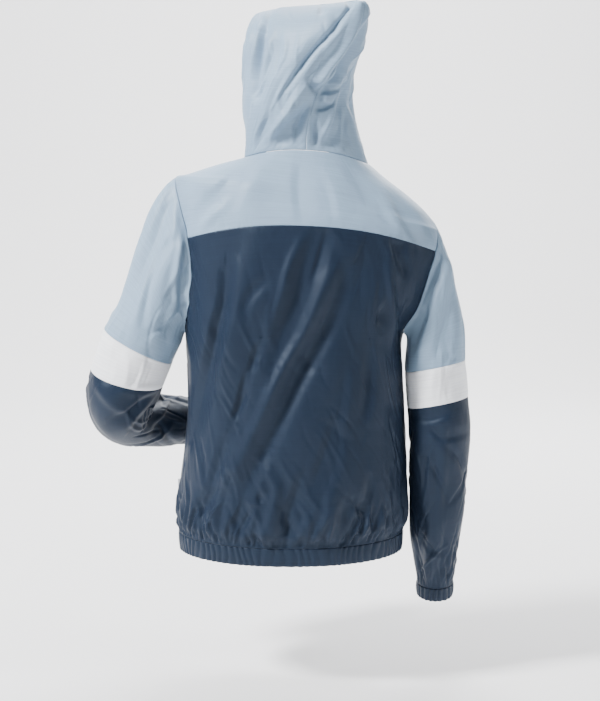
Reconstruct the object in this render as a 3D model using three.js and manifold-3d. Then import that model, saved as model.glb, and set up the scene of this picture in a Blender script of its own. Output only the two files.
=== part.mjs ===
// Hooded windbreaker jacket in its worn shape, hollow, with no wearer. Millimetres, +Z up.
// The front faces -Y and the wearer's left is +X. The origin is the middle of the neckline.
import * as THREE from "three";
import Module from "manifold-3d";

// Driving dimensions
const WALL = 2; // thickness of the cloth wall
const SEAM = 0.3; // gap between two pieces at a seam
const SQUARE = 0.88; // power of sine and cosine in a ring, under 1 for a squarer ring
const NECK = -13; // ring of the neckline, named by its height at the side
const TIP = -77; // ring through the shoulder points
const UNDERARM = -290; // ring through the underarm points
const YOKE_ANGLE = 72; // place of the yoke seam on the armhole, in degrees from the shoulder point
const HEM_SEAM = -613; // ring where the body is gathered into the hem band
const HEM_END = -641; // lower edge of the hem band
const LOOP_STEPS = 20; // points round an armhole and round a sleeve
const LOOP_STEP = (2 * Math.PI) / LOOP_STEPS;
const HALF_ZIP = 5; // from the middle of the zip to the edge of a front
const TAPE_EDGE = 1.2; // from the middle of the zip to the edge of its tape
const TAPE_WIDTH = 13;
const TAPE_WALL = 1;
const HEM_WAVES = 88; // gathers round the hem band
const CUFF_WAVES = 22; // gathers round a cuff
const WAVE = 1.6; // height of a gather
const SLIDER_RING = -34; // ring where the slider stands, close under the neckline
const LABEL = { ring: -536, wide: 5, high: 12, thick: 0.9 };

// Rings of the body, from the hem to the neckline. side, back and front are heights; half is half of the
// width; deepBack and deepFront are depths from the middle; x and y are the middle; tilt lifts the left.
const BODY = [
  { side: -641, back: -649, front: -645, half: 181, deepBack: 109, deepFront: 106, x: 23, y: 2, tilt: 0 },
  { side: -613, back: -621, front: -617, half: 183, deepBack: 111, deepFront: 108, x: 23, y: 2, tilt: 0 },
  { side: -592, back: -599, front: -596, half: 189, deepBack: 119, deepFront: 116, x: 21, y: 1, tilt: 0 },
  { side: -540, back: -545, front: -545, half: 186, deepBack: 121, deepFront: 120, x: 18, y: 0, tilt: 0 },
  { side: -440, back: -442, front: -445, half: 177, deepBack: 119, deepFront: 121, x: 14, y: 0, tilt: 0 },
  { side: -340, back: -338, front: -345, half: 174, deepBack: 119, deepFront: 123, x: 16, y: 0, tilt: 0 },
  { side: -290, back: -284, front: -297, half: 178, deepBack: 120, deepFront: 123, x: 16, y: 0, tilt: 0.01 },
  { side: -225, back: -205, front: -236, half: 197, deepBack: 121, deepFront: 118, x: 1, y: 0, tilt: 0.03 },
  { side: -148, back: -109, front: -166, half: 212, deepBack: 114, deepFront: 108, x: -8, y: -1, tilt: 0.05 },
  { side: -102, back: -78, front: -142, half: 213, deepBack: 106, deepFront: 101, x: -5, y: -3, tilt: 0.12 },
  { side: -77, back: -61, front: -128, half: 208, deepBack: 101, deepFront: 96, x: -1, y: -5, tilt: 0.178 },
  { side: -64, back: -48, front: -118, half: 190, deepBack: 95, deepFront: 91, x: -1, y: -6, tilt: 0.15 },
  { side: -46, back: -30, front: -105, half: 160, deepBack: 86, deepFront: 84, x: -2, y: -7, tilt: 0.127 },
  { side: -28, back: -12, front: -91, half: 126, deepBack: 76, deepFront: 75, x: -2, y: -8, tilt: 0.1 },
  { side: -13, back: 4, front: -79, half: 99, deepBack: 68, deepFront: 68, x: -2, y: -8, tilt: 0.05 },
];

// Rings of the hood, from the neckline to the crown. up runs from 0 to 1; open is the angle from the seam at
// the back to the face edge; yaw is how far the hood is turned to the wearer's left.
const HOOD = [
  { up: 0, side: -13, back: 4, front: -79, half: 99, deepBack: 68, deepFront: 68,
    x: -2, y: -8, tilt: 0.05, open: 180, yaw: 0 },
  { up: 0.1, side: 14, back: 24, front: -42, half: 95, deepBack: 74, deepFront: 76,
    x: 2, y: -9, tilt: 0.04, open: 160, yaw: 3 },
  { up: 0.22, side: 48, back: 52, front: 10, half: 90, deepBack: 84, deepFront: 86,
    x: 8, y: -10, tilt: 0.02, open: 137, yaw: 10 },
  { up: 0.36, side: 88, back: 88, front: 70, half: 87, deepBack: 90, deepFront: 91,
    x: 12, y: -12, tilt: 0, open: 124, yaw: 20 },
  { up: 0.5, side: 128, back: 128, front: 119, half: 85, deepBack: 97, deepFront: 94,
    x: 11, y: -13, tilt: 0, open: 120, yaw: 33 },
  { up: 0.64, side: 164, back: 165, front: 158, half: 82, deepBack: 109, deepFront: 97,
    x: 8, y: -14, tilt: 0, open: 124, yaw: 43 },
  { up: 0.76, side: 192, back: 195, front: 186, half: 74, deepBack: 117, deepFront: 98,
    x: 4, y: -15, tilt: 0, open: 132, yaw: 48 },
  { up: 0.87, side: 213, back: 218, front: 205, half: 56, deepBack: 119, deepFront: 101,
    x: 2, y: -15, tilt: 0, open: 140, yaw: 50 },
  { up: 0.95, side: 226, back: 231, front: 217, half: 31, deepBack: 116, deepFront: 103,
    x: 1, y: -15, tilt: 0, open: 146, yaw: 51 },
  { up: 1, side: 232, back: 236, front: 223, half: 0, deepBack: 105, deepFront: 103,
    x: 1, y: -15, tilt: 0, open: 150, yaw: 51 },
];

// Armholes: how far each edge lies from the side of the body, in degrees round the ring
const ARMHOLE = {
  left: { back: 27, front: 27 },
  right: { back: 23, front: 27 },
};

// Sections of the sleeves below the armhole. x, y and z are the middle, across is the half width from side
// to side, deep the half width from front to back, and lean lifts the outer side, in degrees.
const SLEEVE = {
  left: [
    { name: "underarm", x: 253, y: 0, z: -277, across: 60, deep: 68, lean: 2 },
    { name: "bandTop", x: 270, y: 0, z: -310, across: 62, deep: 64, lean: 5 },
    { name: "bandEnd", x: 289, y: -3, z: -363, across: 60, deep: 60, lean: -5 },
    { name: "upperElbow", x: 302, y: -14, z: -401, across: 57, deep: 56, lean: 0 },
    { name: "elbow", x: 296, y: -50, z: -431, across: 50, deep: 52, lean: 0 },
    { name: "lowerElbow", x: 259, y: -92, z: -447, across: 42, deep: 46, lean: 0 },
    { name: "forearm", x: 212, y: -128, z: -456, across: 37, deep: 41, lean: 0 },
    { name: "wrist", x: 160, y: -166, z: -462, across: 35, deep: 37, lean: 0 },
    { name: "cuffTop", x: 133, y: -185, z: -465, across: 29, deep: 32, lean: 0 },
    { name: "cuffEnd", x: 111, y: -201, z: -467, across: 28, deep: 31, lean: 0 },
  ],
  right: [
    { name: "underarm", x: -211, y: 2, z: -320, across: 48, deep: 66, lean: 5 },
    { name: "bandTop", x: -211, y: 4, z: -343, across: 50, deep: 63, lean: 9 },
    { name: "bandEnd", x: -215, y: 8, z: -402, across: 50, deep: 60, lean: 7 },
    { name: "upperElbow", x: -218, y: 10, z: -438, across: 50, deep: 57, lean: 3 },
    { name: "elbow", x: -218, y: 8, z: -478, across: 49, deep: 55, lean: 0 },
    { name: "lowerElbow", x: -217, y: 2, z: -530, across: 47, deep: 52, lean: 0 },
    { name: "forearm", x: -215, y: -6, z: -596, across: 44, deep: 48, lean: 0 },
    { name: "wrist", x: -216, y: -16, z: -660, across: 37, deep: 41, lean: 0 },
    { name: "cuffTop", x: -216, y: -24, z: -708, across: 30, deep: 32, lean: 0 },
    { name: "cuffEnd", x: -216, y: -28, z: -730, across: 29, deep: 31, lean: 0 },
  ],
};

// Direction in which each sleeve leaves the shoulder point: outwards and down
const SHOULDER_SLOPE = { left: { out: 0.85, down: 0.53 }, right: { out: 0.45, down: 0.89 } };

// Largest folds of the back, as lines on the back seen square on: x and z of both ends, how far the middle
// bows towards +X, half width and depth, where a positive depth stands out.
const BACK_FOLDS = [
  { x1: -16, z1: -125, x2: 60, z2: -345, bow: 0, width: 12, depth: -5 },
  { x1: -58, z1: -185, x2: 112, z2: -560, bow: -10, width: 17, depth: -8 },
  { x1: -30, z1: -190, x2: 90, z2: -420, bow: 0, width: 17, depth: 4 },
  { x1: 64, z1: -200, x2: 98, z2: -270, bow: 10, width: 11, depth: -4 },
  { x1: 128, z1: -185, x2: 172, z2: -420, bow: -6, width: 14, depth: 5 },
  { x1: 158, z1: -170, x2: 192, z2: -470, bow: -6, width: 14, depth: -6 },
  { x1: 88, z1: -350, x2: 165, z2: -590, bow: -8, width: 13, depth: -5 },
  { x1: 60, z1: -380, x2: 130, z2: -600, bow: -4, width: 17, depth: 4 },
  { x1: -140, z1: -135, x2: -160, z2: -330, bow: -12, width: 12, depth: -7 },
  { x1: -118, z1: -240, x2: -112, z2: -440, bow: 6, width: 14, depth: 4 },
  { x1: -95, z1: -320, x2: -70, z2: -500, bow: -6, width: 15, depth: -4 },
  { x1: -60, z1: -590, x2: -110, z2: -470, bow: 8, width: 14, depth: 5 },
];

// Folds of the fronts, in the same columns, seen from the back too
const FRONT_FOLDS = [
  { x1: 110, z1: -190, x2: 60, z2: -420, bow: 8, width: 15, depth: -5 },
  { x1: 140, z1: -230, x2: 120, z2: -520, bow: -8, width: 16, depth: 5 },
  { x1: 70, z1: -380, x2: 140, z2: -590, bow: 6, width: 16, depth: -5 },
  { x1: -120, z1: -180, x2: -60, z2: -440, bow: -8, width: 15, depth: -5 },
  { x1: -140, z1: -260, x2: -110, z2: -540, bow: 6, width: 16, depth: 5 },
  { x1: -50, z1: -400, x2: -100, z2: -590, bow: -8, width: 15, depth: -5 },
];

// Folds of the sleeves: angle round the sleeve in degrees (0 outside, 90 at the back) and distance down it
// at both ends, half width and depth.
const SLEEVE_FOLDS = {
  left: [
    { a1: 100, s1: 20, a2: 75, s2: 210, width: 13, depth: -5 },
    { a1: 60, s1: 40, a2: 50, s2: 200, width: 14, depth: 4 },
    { a1: 130, s1: 30, a2: 150, s2: 150, width: 12, depth: 6 },
    { a1: 250, s1: 40, a2: 290, s2: 200, width: 14, depth: -5 },
    { a1: 40, s1: 290, a2: 110, s2: 350, width: 13, depth: -6 },
    { a1: 330, s1: 330, a2: 300, s2: 480, width: 13, depth: 5 },
  ],
  right: [
    { a1: 75, s1: 10, a2: 150, s2: 190, width: 12, depth: 6 },
    { a1: 95, s1: 30, a2: 165, s2: 170, width: 10, depth: -6 },
    { a1: 45, s1: 60, a2: 70, s2: 220, width: 14, depth: -4 },
    { a1: 270, s1: 40, a2: 210, s2: 190, width: 14, depth: -5 },
    { a1: 100, s1: 300, a2: 70, s2: 430, width: 14, depth: -5 },
    { a1: 250, s1: 280, a2: 290, s2: 440, width: 14, depth: 5 },
  ],
};

// Folds of the hood: a runs from the back seam, 0, to the face edge, 1, and up as in the rings
const HOOD_FOLDS = {
  left: [
    { a1: 0.04, up1: 0.62, a2: 0.62, up2: 0.08, width: 12, depth: 7 },
    { a1: 0.02, up1: 0.42, a2: 0.42, up2: 0.1, width: 10, depth: -7 },
    { a1: 0.25, up1: 0.85, a2: 0.66, up2: 0.14, width: 11, depth: -4 },
    { a1: 0.82, up1: 0.85, a2: 0.8, up2: 0.2, width: 9, depth: -4 },
  ],
  right: [
    { a1: 0.05, up1: 0.5, a2: 0.5, up2: 0.42, width: 10, depth: 5 },
    { a1: 0.04, up1: 0.3, a2: 0.45, up2: 0.3, width: 9, depth: -5 },
    { a1: 0.3, up1: 0.8, a2: 0.7, up2: 0.3, width: 12, depth: -4 },
  ],
};

const SIDES = ["left", "right"];
const signOf = (side) => (side === "left" ? 1 : -1);
const radians = (degrees) => (degrees * Math.PI) / 180;
const mix = (from, to, share) => from + (to - from) * share;
const clamp01 = (value) => Math.min(1, Math.max(0, value));
const smooth = (value) => clamp01(value) ** 2 * (3 - 2 * clamp01(value));
const powered = (value) => Math.sign(value) * Math.abs(value) ** SQUARE;

// Reads a table at any value of its key column, with a cubic curve through the rows.
function readTable(table, key, value) {
  const last = table.length - 1;
  let row = 0;
  while (row < last - 1 && value > table[row + 1][key]) row += 1;
  const [a, b] = [table[row], table[row + 1]];
  const [before, after] = [table[Math.max(0, row - 1)], table[Math.min(last, row + 2)]];
  const span = b[key] - a[key];
  const t = (value - a[key]) / span;
  const read = {};
  for (const column of Object.keys(a)) {
    if (typeof a[column] !== "number") continue;
    const slopeA = ((b[column] - before[column]) / (b[key] - before[key])) * span;
    const slopeB = ((after[column] - a[column]) / (after[key] - a[key])) * span;
    const rise = b[column] - a[column];
    const bend = 3 * rise - 2 * slopeA - slopeB;
    const twist = slopeA + slopeB - 2 * rise;
    read[column] = a[column] + t * slopeA + t * t * bend + t ** 3 * twist;
  }
  return read;
}

// A point of a ring. angle is measured from the middle of the back, positive to the wearer's left.
function ringPoint(ring, angle) {
  const [s, c] = [Math.sin(angle), Math.cos(angle)];
  const across = ring.half * powered(s);
  const along = (c > 0 ? ring.deepBack : ring.deepFront) * powered(c);
  const height = ring.side + ((c > 0 ? ring.back : ring.front) - ring.side) * c * c + ring.tilt * across;
  const yaw = radians(ring.yaw ?? 0);
  return new THREE.Vector3(
    ring.x + across * Math.cos(yaw) - along * Math.sin(yaw),
    ring.y + across * Math.sin(yaw) + along * Math.cos(yaw),
    height,
  );
}

// How far a fold moves a point: full along its line, fading across it and towards its ends.
function foldShare(px, py, fold) {
  const [dx, dy] = [fold.x2 - fold.x1, fold.y2 - fold.y1];
  const long = Math.hypot(dx, dy);
  const t = ((px - fold.x1) * dx + (py - fold.y1) * dy) / long ** 2;
  const inside = clamp01(t);
  const bow = (fold.bow ?? 0) * 4 * inside * (1 - inside);
  const off = Math.hypot(px - fold.x1 - dx * inside - bow, py - fold.y1 - dy * inside);
  return Math.exp(-((off / fold.width) ** 2)) * Math.sin(Math.PI * mix(0.08, 0.92, inside)) ** 0.6;
}

function bodyFold(point, ring, angle) {
  const folds = Math.cos(angle) > 0 ? BACK_FOLDS : FRONT_FOLDS;
  const calm = smooth((ring.side - HEM_SEAM) / 25) * smooth(Math.abs(Math.cos(angle)) / 0.35);
  const zip = Math.cos(angle) > 0 ? 1 : smooth((Math.abs(point.x - ring.x) - 22) / 30);
  let out = 0;
  for (const fold of folds) {
    const line = { x1: fold.x1, y1: fold.z1, x2: fold.x2, y2: fold.z2, bow: fold.bow, width: fold.width };
    out += fold.depth * foldShare(point.x, point.z, line);
  }
  return out * calm * zip;
}

// The body's outer surface at an angle round it and a ring named by its height at the side.
function bodyPoint(angle, ringSide) {
  const ring = readTable(BODY, "side", ringSide);
  const point = ringPoint(ring, angle);
  const out = new THREE.Vector3(point.x - ring.x, point.y - ring.y, 0).normalize();
  return point.addScaledVector(out, bodyFold(point, ring, angle));
}

// The armhole: its ring and its angle round the body, at an angle round the loop from the shoulder point.
const LOOP_MIDDLE = (TIP + UNDERARM) / 2;
const LOOP_HALF = (TIP - UNDERARM) / 2;
const loopRing = (turn) => LOOP_MIDDLE + LOOP_HALF * Math.cos(turn);
const YOKE = loopRing(radians(YOKE_ANGLE));

function loopAngle(side, turn) {
  const edge = Math.sin(turn) > 0 ? ARMHOLE[side].back : ARMHOLE[side].front;
  return Math.PI / 2 - radians(edge) * Math.sin(turn);
}

const loopPoint = (side, turn) => bodyPoint(signOf(side) * loopAngle(side, turn), loopRing(turn));

// The edge of a body panel at a side: the armhole beside it, and the side or shoulder seam elsewhere.
function panelEdge(side, ringSide, faces) {
  if (ringSide <= UNDERARM || ringSide >= TIP) return Math.PI / 2;
  const turn = Math.acos((ringSide - LOOP_MIDDLE) / LOOP_HALF);
  return loopAngle(side, faces === "back" ? turn : -turn);
}

// Sleeves: distances down the middle line and the turning frames of their sections
function sleeveStations(side) {
  const start = loopPoint(side, 0).add(loopPoint(side, Math.PI)).multiplyScalar(0.5);
  let [long, from] = [0, start];
  return SLEEVE[side].map((row) => {
    const middle = new THREE.Vector3(row.x, row.y, row.z);
    long += middle.distanceTo(from);
    from = middle;
    return { ...row, s: long };
  });
}

const STATIONS = Object.fromEntries(SIDES.map((side) => [side, sleeveStations(side)]));
const stationAt = (side, name) => STATIONS[side].find((row) => row.name === name).s;
const CAP = Object.fromEntries(SIDES.map((side) => [side, stationAt(side, "underarm")]));
const FRAME_STEP = 4; // distance between two frames carried along a sleeve

function middleAt(side, s) {
  const row = readTable(STATIONS[side], "s", s);
  return new THREE.Vector3(row.x, row.y, row.z);
}

function headingAt(side, s) {
  return middleAt(side, s + 1).sub(middleAt(side, s - 1)).normalize();
}

// Carries the outward direction down the sleeve with no twist.
function sleeveFrames(side) {
  const frames = [];
  const end = stationAt(side, "cuffEnd");
  let out = new THREE.Vector3(signOf(side), 0, 0);
  for (let s = CAP[side]; s <= end + FRAME_STEP; s += FRAME_STEP) {
    const heading = headingAt(side, s);
    out = out.clone().addScaledVector(heading, -out.dot(heading)).normalize();
    frames.push({ s, x: out.x, y: out.y, z: out.z });
  }
  return frames;
}

const FRAMES = Object.fromEntries(SIDES.map((side) => [side, sleeveFrames(side)]));

function sectionPoint(side, turn, s) {
  const row = readTable(STATIONS[side], "s", s);
  const heading = headingAt(side, s);
  const frame = readTable(FRAMES[side], "s", s);
  const out = new THREE.Vector3(frame.x, frame.y, frame.z);
  out.addScaledVector(heading, -out.dot(heading)).normalize();
  const back = new THREE.Vector3().crossVectors(out, heading).multiplyScalar(signOf(side));
  out.multiplyScalar(Math.cos(radians(row.lean))).addScaledVector(heading, -Math.sin(radians(row.lean)));
  return new THREE.Vector3(row.x, row.y, row.z)
    .addScaledVector(out, row.across * Math.cos(turn))
    .addScaledVector(back, row.deep * Math.sin(turn));
}

// Direction in which the sleeve leaves the armhole: along the shoulder at the top, sideways under the arm.
function capHeading(side, turn) {
  const under = (1 - Math.cos(turn)) / 2;
  return new THREE.Vector3(
    signOf(side) * mix(SHOULDER_SLOPE[side].out, 1, under),
    0.25 * Math.sin(turn),
    -mix(SHOULDER_SLOPE[side].down, 0.3, under),
  ).normalize();
}

// The cap of the sleeve: a smooth bridge from the armhole to the section under the arm.
function capPoint(side, turn, s) {
  const t = s / CAP[side];
  const start = loopPoint(side, turn).addScaledVector(capHeading(side, turn), SEAM + 0.2);
  const end = sectionPoint(side, turn, CAP[side]);
  const chord = start.distanceTo(end);
  const [t2, t3] = [t * t, t ** 3];
  return new THREE.Vector3()
    .addScaledVector(start, 2 * t3 - 3 * t2 + 1)
    .addScaledVector(capHeading(side, turn), chord * 0.8 * (t3 - 2 * t2 + t))
    .addScaledVector(end, 3 * t2 - 2 * t3)
    .addScaledVector(headingAt(side, CAP[side]), chord * 0.9 * (t3 - t2));
}

function sleeveFold(side, turn, s) {
  const degrees = ((turn * 180) / Math.PI + 360) % 360;
  const around = 1; // a degree round the sleeve is close to a millimetre
  const ends = smooth(s / 25) * smooth((stationAt(side, "cuffTop") - s) / 30);
  const inside = 1 - 0.85 * smooth((Math.cos(turn + Math.PI) - 0.7) / 0.3);
  let out = 0;
  for (const fold of SLEEVE_FOLDS[side]) {
    const line = { x1: fold.a1 * around, y1: fold.s1, x2: fold.a2 * around, y2: fold.s2, width: fold.width };
    out += fold.depth * foldShare(degrees * around, s, line);
  }
  return out * ends * inside;
}

function sleevePoint(side, turn, s) {
  const point = s < CAP[side] ? capPoint(side, turn, s) : sectionPoint(side, turn, s);
  const middle = middleAt(side, Math.max(s, CAP[side]));
  const out = point.clone().sub(middle);
  if (s < CAP[side]) out.z *= s / CAP[side];
  return point.addScaledVector(out.normalize(), sleeveFold(side, turn, s));
}

// The hood's outer surface: a runs from the seam at the back, 0, to the face edge, 1.
function hoodPoint(side, a, up) {
  const ring = readTable(HOOD, "up", up);
  const angle = Math.min(a * radians(ring.open), radians(180) - 0.02);
  const point = ringPoint({ ...ring, half: Math.max(ring.half, 0.01) }, signOf(side) * angle);
  const out = new THREE.Vector3(point.x - ring.x, point.y - ring.y, 0).normalize();
  const calm = smooth(up / 0.08) * smooth((1 - up) / 0.12) * smooth(a / 0.12);
  let move = 0;
  for (const fold of HOOD_FOLDS[side]) {
    const ends = { x1: fold.a1 * 200, y1: fold.up1 * 260, x2: fold.a2 * 200, y2: fold.up2 * 260 };
    const line = { ...ends, width: fold.width };
    move += fold.depth * foldShare(a * 200, up * 260, line);
  }
  return point.addScaledVector(out, move * calm);
}

// The outward normal of a surface given as a function of two values.
function normalOf(surface, p, q, stepP, stepQ, turned) {
  const alongP = surface(p + stepP, q).sub(surface(p - stepP, q));
  const alongQ = surface(p, q + stepQ).sub(surface(p, q - stepQ));
  return alongP.cross(alongQ).multiplyScalar(turned).normalize();
}

// A closed wall from rows of outer and inner points. Rows may close on themselves, as on a tube.
function wallGeometry(outer, inner, round = false) {
  const [rows, columns] = [outer.length, outer[0].length];
  const position = [...outer.flat(), ...inner.flat()].flatMap((p) => [p.x, p.y, p.z]);
  const face = [];
  const quad = (a, b, c, d) => face.push(a, b, c, a, c, d);
  const at = (row, column) => row * columns + (column % columns);
  const inside = rows * columns;
  const steps = round ? columns : columns - 1;
  for (let r = 0; r < rows - 1; r += 1) {
    for (let c = 0; c < steps; c += 1) {
      const corners = [at(r, c), at(r, c + 1), at(r + 1, c + 1), at(r + 1, c)];
      quad(...corners);
      quad(...corners.map((k) => k + inside).reverse());
    }
  }
  for (let c = 0; c < steps; c += 1) {
    quad(at(0, c + 1), at(0, c), at(0, c) + inside, at(0, c + 1) + inside);
    const top = rows - 1;
    quad(at(top, c), at(top, c + 1), at(top, c + 1) + inside, at(top, c) + inside);
  }
  for (let r = 0; r < rows - 1 && !round; r += 1) {
    quad(at(r, 0), at(r + 1, 0), at(r + 1, 0) + inside, at(r, 0) + inside);
    const end = columns - 1;
    quad(at(r + 1, end), at(r, end), at(r, end) + inside, at(r + 1, end) + inside);
  }
  return facingOut(position, face);
}

// Turns the faces of a closed mesh outwards.
function facingOut(position, face) {
  const [a, b, c] = [new THREE.Vector3(), new THREE.Vector3(), new THREE.Vector3()];
  let volume = 0;
  for (let k = 0; k < face.length; k += 3) {
    a.fromArray(position, face[k] * 3);
    b.fromArray(position, face[k + 1] * 3);
    c.fromArray(position, face[k + 2] * 3);
    volume += a.dot(b.cross(c));
  }
  const index = volume < 0 ? face.slice().reverse() : face;
  const geometry = new THREE.BufferGeometry();
  geometry.setAttribute("position", new THREE.Float32BufferAttribute(position, 3));
  geometry.setIndex(index);
  geometry.computeVertexNormals();
  return geometry;
}

// Evenly spaced values from one end to the other.
const spaced = (from, to, steps) => Array.from({ length: steps + 1 }, (_, k) => mix(from, to, k / steps));

// Rings of the body panels: even rows below the arm, and one row for each point of the armhole beside it.
const armholeRings = (from, to) => spaced(from, to, to - from).map((k) => loopRing(Math.PI - k * LOOP_STEP));
const YOKE_STEP = Math.round((180 - YOKE_ANGLE) / (360 / LOOP_STEPS));
const LOWER_RINGS = [...spaced(HEM_SEAM, UNDERARM, 12), ...armholeRings(1, YOKE_STEP)];
const UPPER_RINGS = [...armholeRings(YOKE_STEP, LOOP_STEPS / 2), ...spaced(TIP, NECK, 4).slice(1)];
const HALF_SEAM = SEAM / 2;

// Moves the first and last ring of a panel half a seam inwards.
function trimmed(rings) {
  const cut = [...rings];
  cut[0] += HALF_SEAM;
  cut[cut.length - 1] -= HALF_SEAM;
  return cut;
}

// Points of a body panel between two edges that are functions of the ring.
function bodyPanel(rings, from, to, columns, wave = () => 0) {
  const normal = (angle, ring) => normalOf(bodyPoint, angle, ring, 1e-3, 0.05, -1);
  const grid = trimmed(rings).map((ring, row) =>
    spaced(0, 1, columns).map((share, column) => {
      const angle = mix(from(rings[row]), to(rings[row]), share);
      return { point: bodyPoint(angle, ring), normal: normal(angle, ring), lift: wave(column, angle) };
    }),
  );
  const outer = grid.map((row) => row.map((g) => g.point.clone().addScaledVector(g.normal, g.lift)));
  const inner = grid.map((row) => row.map((g) => g.point.clone().addScaledVector(g.normal, -WALL)));
  return { outer, inner, grid };
}

// The angle at which a front ends beside the zip.
function zipAngle(ringSide, gap = HALF_ZIP) {
  const ring = readTable(BODY, "side", ringSide);
  return Math.PI - Math.asin((gap / ring.half) ** (1 / SQUARE));
}

const sideGap = (ringSide) => HALF_SEAM / readTable(BODY, "side", ringSide).half;
const backEdge = (side) => (ring) => signOf(side) * (panelEdge(side, ring, "back") - sideGap(ring));
const frontEdge = (side) => (ring) => signOf(side) * (panelEdge(side, ring, "front") + sideGap(ring));
const zipEdge = (side) => (ring) => signOf(side) * zipAngle(ring);

const BACK_COLUMNS = 30;
const FRONT_COLUMNS = 14;

function frontPanel(side, rings) {
  return bodyPanel(rings, frontEdge(side), zipEdge(side), FRONT_COLUMNS);
}

// The elastic hem band, a single strip from one side of the zip to the other.
function hemBand() {
  const start = (ring) => -zipAngle(ring);
  const end = (ring) => zipAngle(ring);
  const calm = (angle) => smooth((zipAngle(HEM_SEAM) - Math.abs(angle)) / 0.12);
  const wave = (column, angle) => (column % 2 ? WAVE : 0) * calm(angle);
  const rings = [HEM_END - HALF_SEAM, HEM_SEAM];
  return bodyPanel(rings, start, end, HEM_WAVES * 2, wave);
}

// One half of the zip tape, laid behind the edge points of the pieces that it is sewn to.
function zipTape(side, panels) {
  const rows = panels.flatMap(({ outer, grid }) =>
    outer.map((row, r) => {
      const last = row.length - 1;
      const fromStart = side === "right" && row.length > 40;
      const [edge, next] = fromStart ? [row[0], row[1]] : [row[last], row[last - 1]];
      const normal = fromStart ? grid[r][0].normal : grid[r][last].normal;
      const along = edge.clone().sub(next).normalize();
      return { edge, along, normal };
    }),
  );
  const layer = (depth) =>
    rows.map(({ edge, along, normal }) =>
      [HALF_ZIP - TAPE_EDGE, HALF_ZIP - TAPE_EDGE - TAPE_WIDTH].map((reach) =>
        edge.clone().addScaledVector(along, reach).addScaledVector(normal, -depth),
      ),
    );
  const front = WALL + SEAM + 0.1;
  return wallGeometry(layer(front), layer(front + TAPE_WALL));
}

// Sleeve pieces between two distances down the sleeve.
function sleevePiece(side, from, to, rows) {
  const surface = (turn, s) => sleevePoint(side, turn, s);
  const [start, end] = [from === 0 ? 0 : from + HALF_SEAM, to - HALF_SEAM];
  const grid = spaced(start, end, rows).map((s) =>
    Array.from({ length: LOOP_STEPS }, (_, k) => {
      const turn = k * LOOP_STEP;
      const near = Math.max(s, 0.6);
      return { point: surface(turn, s), normal: normalOf(surface, turn, near, 1e-3, 0.5, -signOf(side)) };
    }),
  );
  const outer = grid.map((row) => row.map((g) => g.point));
  const inner = grid.map((row) => row.map((g) => g.point.clone().addScaledVector(g.normal, -WALL)));
  return wallGeometry(outer, inner, true);
}

// An elastic cuff with its gathers.
function cuff(side) {
  const surface = (turn, s) => sectionPoint(side, turn, s);
  const columns = CUFF_WAVES * 2;
  const ends = [stationAt(side, "cuffTop") + HALF_SEAM, stationAt(side, "cuffEnd")];
  const grid = ends.map((s) =>
    Array.from({ length: columns }, (_, k) => {
      const turn = (k * 2 * Math.PI) / columns;
      const lift = k % 2 ? WAVE * 0.8 : 0;
      return { point: surface(turn, s), normal: normalOf(surface, turn, s, 1e-3, 0.5, -signOf(side)), lift };
    }),
  );
  const outer = grid.map((row) => row.map((g) => g.point.clone().addScaledVector(g.normal, g.lift)));
  const inner = grid.map((row) => row.map((g) => g.point.clone().addScaledVector(g.normal, -WALL)));
  return wallGeometry(outer, inner, true);
}

// One half of the hood, from the seam over the crown to the face edge.
const HOOD_ROWS = [0, 0.05, 0.11, 0.18, 0.26, 0.34, 0.42, 0.5, 0.58, 0.66, 0.74, 0.81, 0.87, 0.92, 0.965, 1];
const HOOD_COLUMNS = 14;

function hoodHalf(side) {
  const sign = signOf(side);
  const surface = (a, up) => hoodPoint(side, a, up);
  const lateral = (up) => {
    const { x, y, yaw } = readTable(HOOD, "up", up);
    const across = new THREE.Vector3(Math.cos(radians(yaw)), Math.sin(radians(yaw)), 0);
    return { middle: new THREE.Vector3(x, y, 0), across };
  };
  // Keeps a point on its own side of the seam that joins the two halves.
  const keptAside = (point, up, gap) => {
    const { middle, across } = lateral(up);
    const reach = sign * point.clone().sub(middle).dot(across);
    return reach < gap ? point.addScaledVector(across, sign * (gap - reach)) : point;
  };
  const outer = [];
  const inner = [];
  for (const up of HOOD_ROWS) {
    const cells = spaced(0, 1, HOOD_COLUMNS).map((a) => {
      const point = keptAside(surface(a, up), up, HALF_SEAM + 0.05);
      const [nearA, nearUp] = [Math.min(Math.max(a, 0.012), 0.988), Math.min(Math.max(up, 0.004), 0.985)];
      const normal = normalOf(surface, nearA, nearUp, 0.01, 0.004, -sign);
      const raised = up === 0 ? SEAM + 0.1 : 0;
      point.z += raised;
      const behind = point.clone().addScaledVector(normal, -WALL);
      return { point, inside: keptAside(behind, up, HALF_SEAM + 0.05) };
    });
    outer.push(cells.map((cell) => cell.point));
    inner.push(cells.map((cell) => cell.inside));
  }
  return wallGeometry(outer, inner);
}

// The zip's slider and pull tab stand in a frame of their own: the front is -Y and +Z runs up the zip.
const SLIDER = { half: 4.2, low: -6, high: 6, face: 2.2, skin: 0.6, back: 5.4, backSkin: 4 };
const BRIDGE = { half: 1, low: -4.5, high: 5, post: 1.2, under: 4, top: 5.2 };
const PULL = { pivotZ: 2.6, pivotY: 3.1, thick: 1, arm: 3, hole: 1.5, loopEnd: -7.2, half: 4, end: -31 };

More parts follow.
